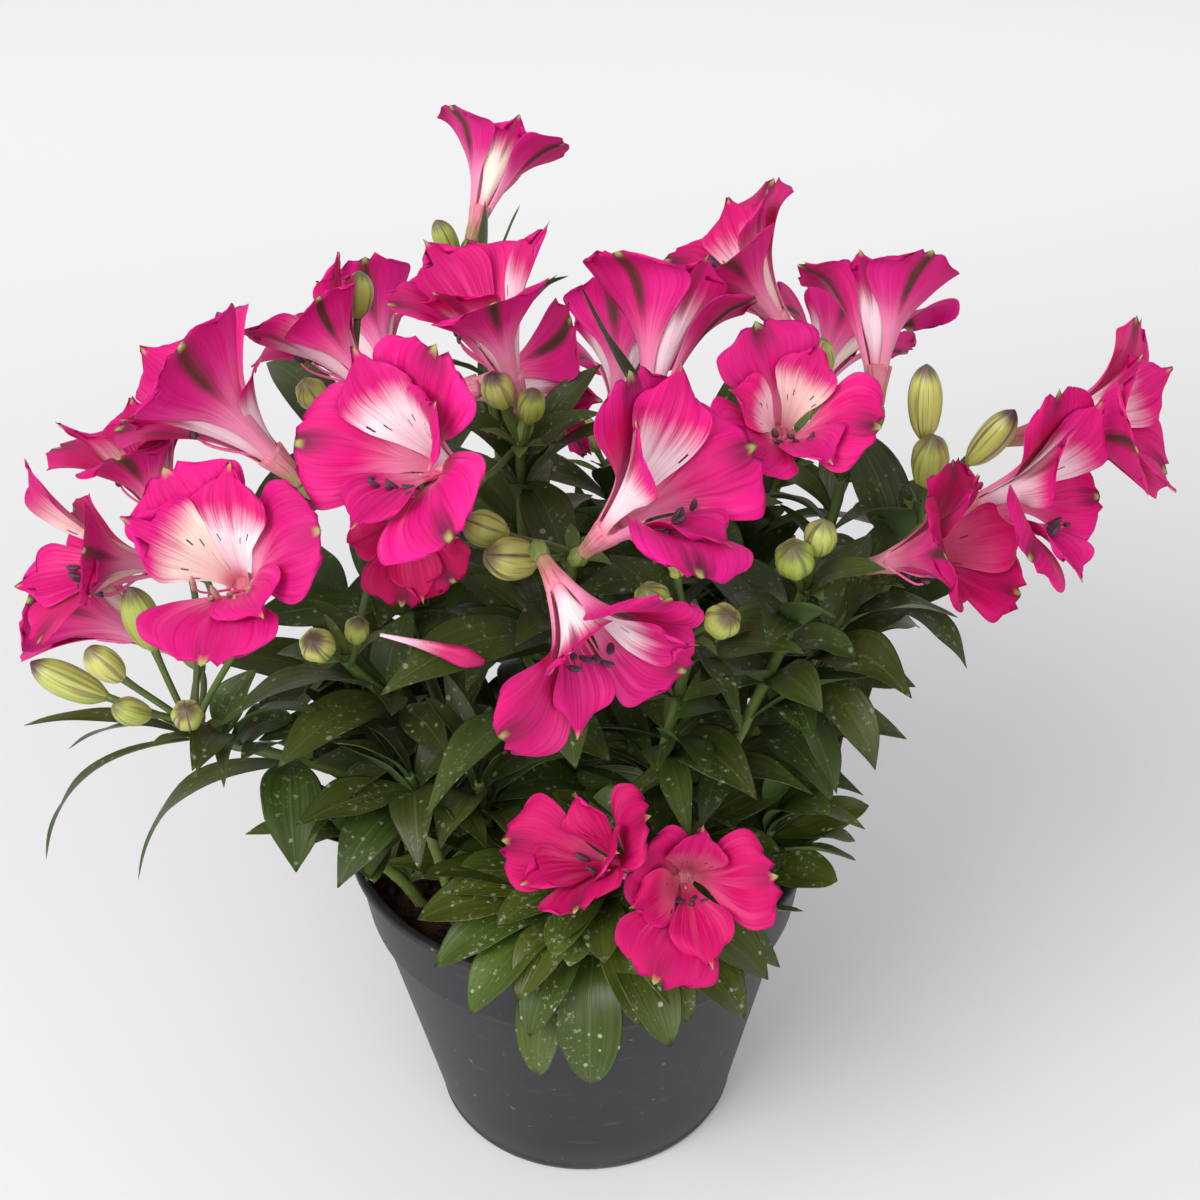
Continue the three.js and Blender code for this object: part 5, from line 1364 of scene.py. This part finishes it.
def addTepal(bag, seat, axis, top, size, part, fold, seed, age, look):
    p = tepalShape
    kind, outer = part["kind"], part["kind"] == "outer"
    out = outOf(axis, top, part)
    side = np.cross(out, axis)
    path = tepalSpine(seat, axis, out, size, part, fold)
    half = part["length"] * p[kind + "Breadth"] / 2 * (0.5 + fold[1] / 2)
    s = np.linspace(0, 1, p["steps"]) ** 0.85
    t = np.sin(np.linspace(-1, 1, p["across"]) * math.pi / 2)
    grid, cross = np.meshgrid(s, t, indexing="ij")
    rnd = [draw(seed * 13 + i) for i in range(8)]
    reach = grid * (1 - tepalLip(cross, outer, age, rnd) * grid**5)
    line = onPath(path, reach)
    angle = angleAt(reach, part["open"] + fold[0])
    inward = np.cos(angle)[..., None] * -out + np.sin(angle)[..., None] * axis
    widths = outlineAt(p[kind], grid) * half
    widths = widths * (1 + 0.02 * np.sin(grid * 24 + 6 * rnd[2] + cross * 2) * grid)
    away = np.abs(cross)
    lift = outlineAt(p[kind + "Cup"], grid) * widths * away**2
    lift = lift + tepalLift(grid, cross, size, outer, age, rnd)
    sag = -up * (1.5 * age * grid**2)[..., None]
    sheet = line + side * (widths * cross)[..., None] + inward * lift[..., None] + sag
    thick = p["thick"] * (1 - 0.75 * away**2) * (1 - 0.45 * grid)
    addSheet(bag, sheet, thick, grid, cross, *look)


def addThroat(bag, seat, axis, size, seed):  # a green-footed tube that the claws rise from, open at the top
    u = np.array([0, 1.5, 3.5, 6, 9, 12, 13.4, 13.2, 11, 7, 5.5]) * size
    radii = np.array([2.3, 2.55, 2.75, 3.1, 3.7, 4.35, 4.55, 4.1, 3.6, 2.6, 0.2])
    radii[3:] = radii[3:] * size
    shade = smooth(u / size, 1, 11)[:, None]
    green = vec(bloomLook["green"])
    tints = green * (1 - shade) + vec(bloomLook["throat"]) * shade
    addTube(bag, seat + np.outer(u, axis), radii, 24, seed + 0.01, tepalSkin, tints, green, ribs=(6, 0.05))


def addStamens(bag, seat, axis, top, size, seed, droop, podTint):
    p = stamenShape
    side = np.cross(axis, top)
    thread, style = bloomLook["filament"], bloomLook["style"]
    for i in range(p["number"]):
        r = [draw(seed * 17 + i * 5 + k) for k in range(5)]
        spread = (i - (p["number"] - 1) / 2) / p["number"]
        start = seat + axis * 6 * size + side * spread * 2.0
        reach = axis * (34 + 9 * r[0]) - top * (5 + droop + 5 * r[1]) + side * spread * (15 + 7 * r[2])
        end = seat + size * reach
        curve = curveOf([start, start + axis * 14 * size, end - axis * 10 * size - top * 3, end])
        u = np.linspace(0, 1, p["threadSteps"])
        radii = p["thread"] - p["thinning"] * u
        addTube(bag, along(curve, u), radii, p["threadSides"], seed, antherSkin, thread, thread)
        ahead = unit(unit(axis + side * (r[3] - 0.5) * 2.2 + top * (r[4] - 0.3)))
        v = np.linspace(-1, 1, p["podSteps"])
        pod = end + np.outer(v * (2.1 + 0.8 * r[2]), ahead) + np.outer(0.5 * v * v, top)
        fat = p["podRadius"] * np.sqrt(np.maximum(0.02, 1 - v**2)) + 0.05
        addTube(bag, pod, fat, p["podSides"], seed, antherSkin, podTint, podTint, ribs=(2, 0.22))
    end = seat + size * (axis * 27 - top * (3 + droop * 0.6))
    curve = curveOf([seat + axis * 5 * size, seat + axis * 15 * size, end - axis * 6, end])
    centres = along(curve, np.linspace(0, 1, p["styleSteps"]))
    addTube(bag, centres, p["style"], p["threadSides"], seed, antherSkin, style, style)


def solidTepal(name, seat, axis, top, size, part):
    out = outOf(axis, top, part)

    def rowsOf(fold):
        return onPath(tepalSpine(seat, axis, out, size, part, fold), tepalShape[part["kind"] + "Rows"])
    return chosen(name, folds, rowsOf)


def tepalColours(part, crimson, streaks, seed, lowest):  # where white turns pink, its marks, lip and foot
    r = draw(seed + 9000)
    lip = vec(bloomLook["pink"]) * (1 - crimson) + vec(bloomLook["crimson"]) * crimson
    lip = lip + (vec(bloomLook["magenta"]) - lip) * 0.7 * r * (1 - crimson)
    lip = lip * (0.78 + 0.34 * draw(seed + 7700))
    if part["kind"] == "outer":
        pale = 0.75 * (1 - crimson)
        foot = vec(bloomLook["foot"])
        switch, marks = 0.4 + 0.1 * r, (streaks, 0, 0)
    else:
        pale = max(0, 1 - 1.3 * crimson) * (0.35 if lowest else 1)
        foot = vec(bloomLook["white" if r < 0.7 else "cream"])
        switch, marks = (0.36 if lowest else 0.61) + 0.07 * r, (streaks * 0.2, 0.3 if lowest else 1, 0)
    return switch, marks, lip, lip * (1 - pale) + foot * pale


def makeBloom(name, index, row):
    bag = newBag()
    axis, top = bloomAxes(row)
    seat, size = vec(row[1]), row[4]
    crimson, streaks, age = bloomAge.get(name, usualAge)
    addThroat(bag, seat, axis, size, index)
    kinds = ["outer"] * 3 + ["inner"] * 3
    parts = [{"turn": row[0], "open": row[1], "length": row[2], "kind": kind}
             for row, kind in zip(tepals[name], kinds)]
    lowest = max(range(3, 6), key=lambda k: abs(parts[k]["turn"]))
    lost = 0
    for k, part in enumerate(parts):
        fold = solidTepal(name, seat, axis, top, size, part)
        if fold is None:
            lost += 1
            continue
        seed = index * 31 + k
        switch, marks, lip, foot = tepalColours(part, crimson, streaks, seed, k == lowest)
        look = (index * 7 + k + switch, marks, lip, foot, tepalSkin)
        addTepal(bag, seat, axis, top, size, part, fold, seed, age, look)
    droop = 0 if name == "bloom_nodding" else stamenShape["droop"]
    podTint = bloomLook["tan" if name == "bloom_left_front" else "anther"]
    addStamens(bag, seat, axis, top, size * (0.9 if age < 0.8 else 0.7), index + 3, droop, podTint)
    makePiece(name + "_petals", bag, [tepalSkin, antherSkin], name)
    return lost


missing = sum(makeBloom(name, index, row) for index, (name, row) in enumerate(blooms.items()))
print("blooms made, tepals that the solids have no room for:", missing)


# floor, light and camera

studio = {"floor": (0.77, 0.766, 0.782), "worldLight": 0.6, "farGlow": 0.27, "lower": -0.0002}
lamps = {
    "windowLight": {"place": (-0.9, -1.15, 1.4), "size": 1.1, "power": 29.0, "colour": (1.0, 0.98, 0.95)},
    "frontFill": {"place": (0.5, -1.6, 1.1), "size": 1.6, "power": 13.0, "colour": (1.0, 1.0, 1.0)},
}
view = {"place": (8.6, -624.8, 646.6), "down": 34.14, "roll": -0.017, "lens": 66}


def makeFloor():
    bpy.ops.mesh.primitive_plane_add(size=8, location=(0, 0, studio["lower"]))
    floor = bpy.context.object
    floor.name = "studio_floor"
    material, shader = newMaterial("floorSkin", 0.9, Specular_IOR_Level=0.1)
    place = objectPlace()
    r, g, b = studio["floor"]
    shade = blend(noiseOf(place, 1.2, 2.0), rgb(r * 0.97, g * 0.97, b * 0.98), rgb(r, g, b))
    link(shade, shader.inputs["Base Color"])
    split = addNode("SeparateXYZ")
    link(place, split.inputs[0])
    shader.inputs["Emission Color"].default_value = rgb(1.0, 1.0, 1.0)
    link(times(step(split.outputs[1], 0.0, 1.1), studio["farGlow"]), shader.inputs["Emission Strength"])
    floor.data.materials.append(material)
    return floor


def lightWorld():
    world = bpy.data.worlds.new("studioWorld")
    bpy.context.scene.world = world
    world.use_nodes = True
    sky = world.node_tree.nodes["Background"]
    sky.inputs["Color"].default_value = rgb(1.0, 1.0, 1.0)
    sky.inputs["Strength"].default_value = studio["worldLight"]


def addLamp(name, place, size, power, colour):
    lamp = bpy.data.lights.new(name, "AREA")
    lamp.size = size
    lamp.energy = power
    lamp.color = colour
    holder = bpy.data.objects.new(name, lamp)
    bpy.context.scene.collection.objects.link(holder)
    holder.location = place
    holder.rotation_euler = (Vector(place) - Vector((0, 0, 0.2))).to_track_quat("Z", "Y").to_euler()


def addCamera():
    down, roll = math.radians(view["down"]), view["roll"]
    ahead = vec((0, math.cos(down), -math.sin(down)))
    above = vec((0, math.sin(down), math.cos(down)))
    right = vec((1, 0, 0))
    rightHand = right * math.cos(roll) + above * math.sin(roll)
    topHand = -right * math.sin(roll) + above * math.cos(roll)
    lens = bpy.data.cameras.new("photoCamera")
    lens.lens = view["lens"]
    lens.sensor_width = 36
    lens.clip_end = 50
    camera = bpy.data.objects.new("photoCamera", lens)
    rows = np.column_stack([rightHand, topHand, -ahead, vec(view["place"]) * mm])
    camera.matrix_world = Matrix([*rows.tolist(), [0, 0, 0, 1]])
    bpy.context.scene.collection.objects.link(camera)
    return camera


floor = makeFloor()
lightWorld()
for name, lamp in lamps.items():
    addLamp(name, **lamp)
bpy.context.scene.camera = addCamera()
bpy.context.scene.view_settings.view_transform = "Standard"
print("studio ready")

bpy.context.view_layer.update()
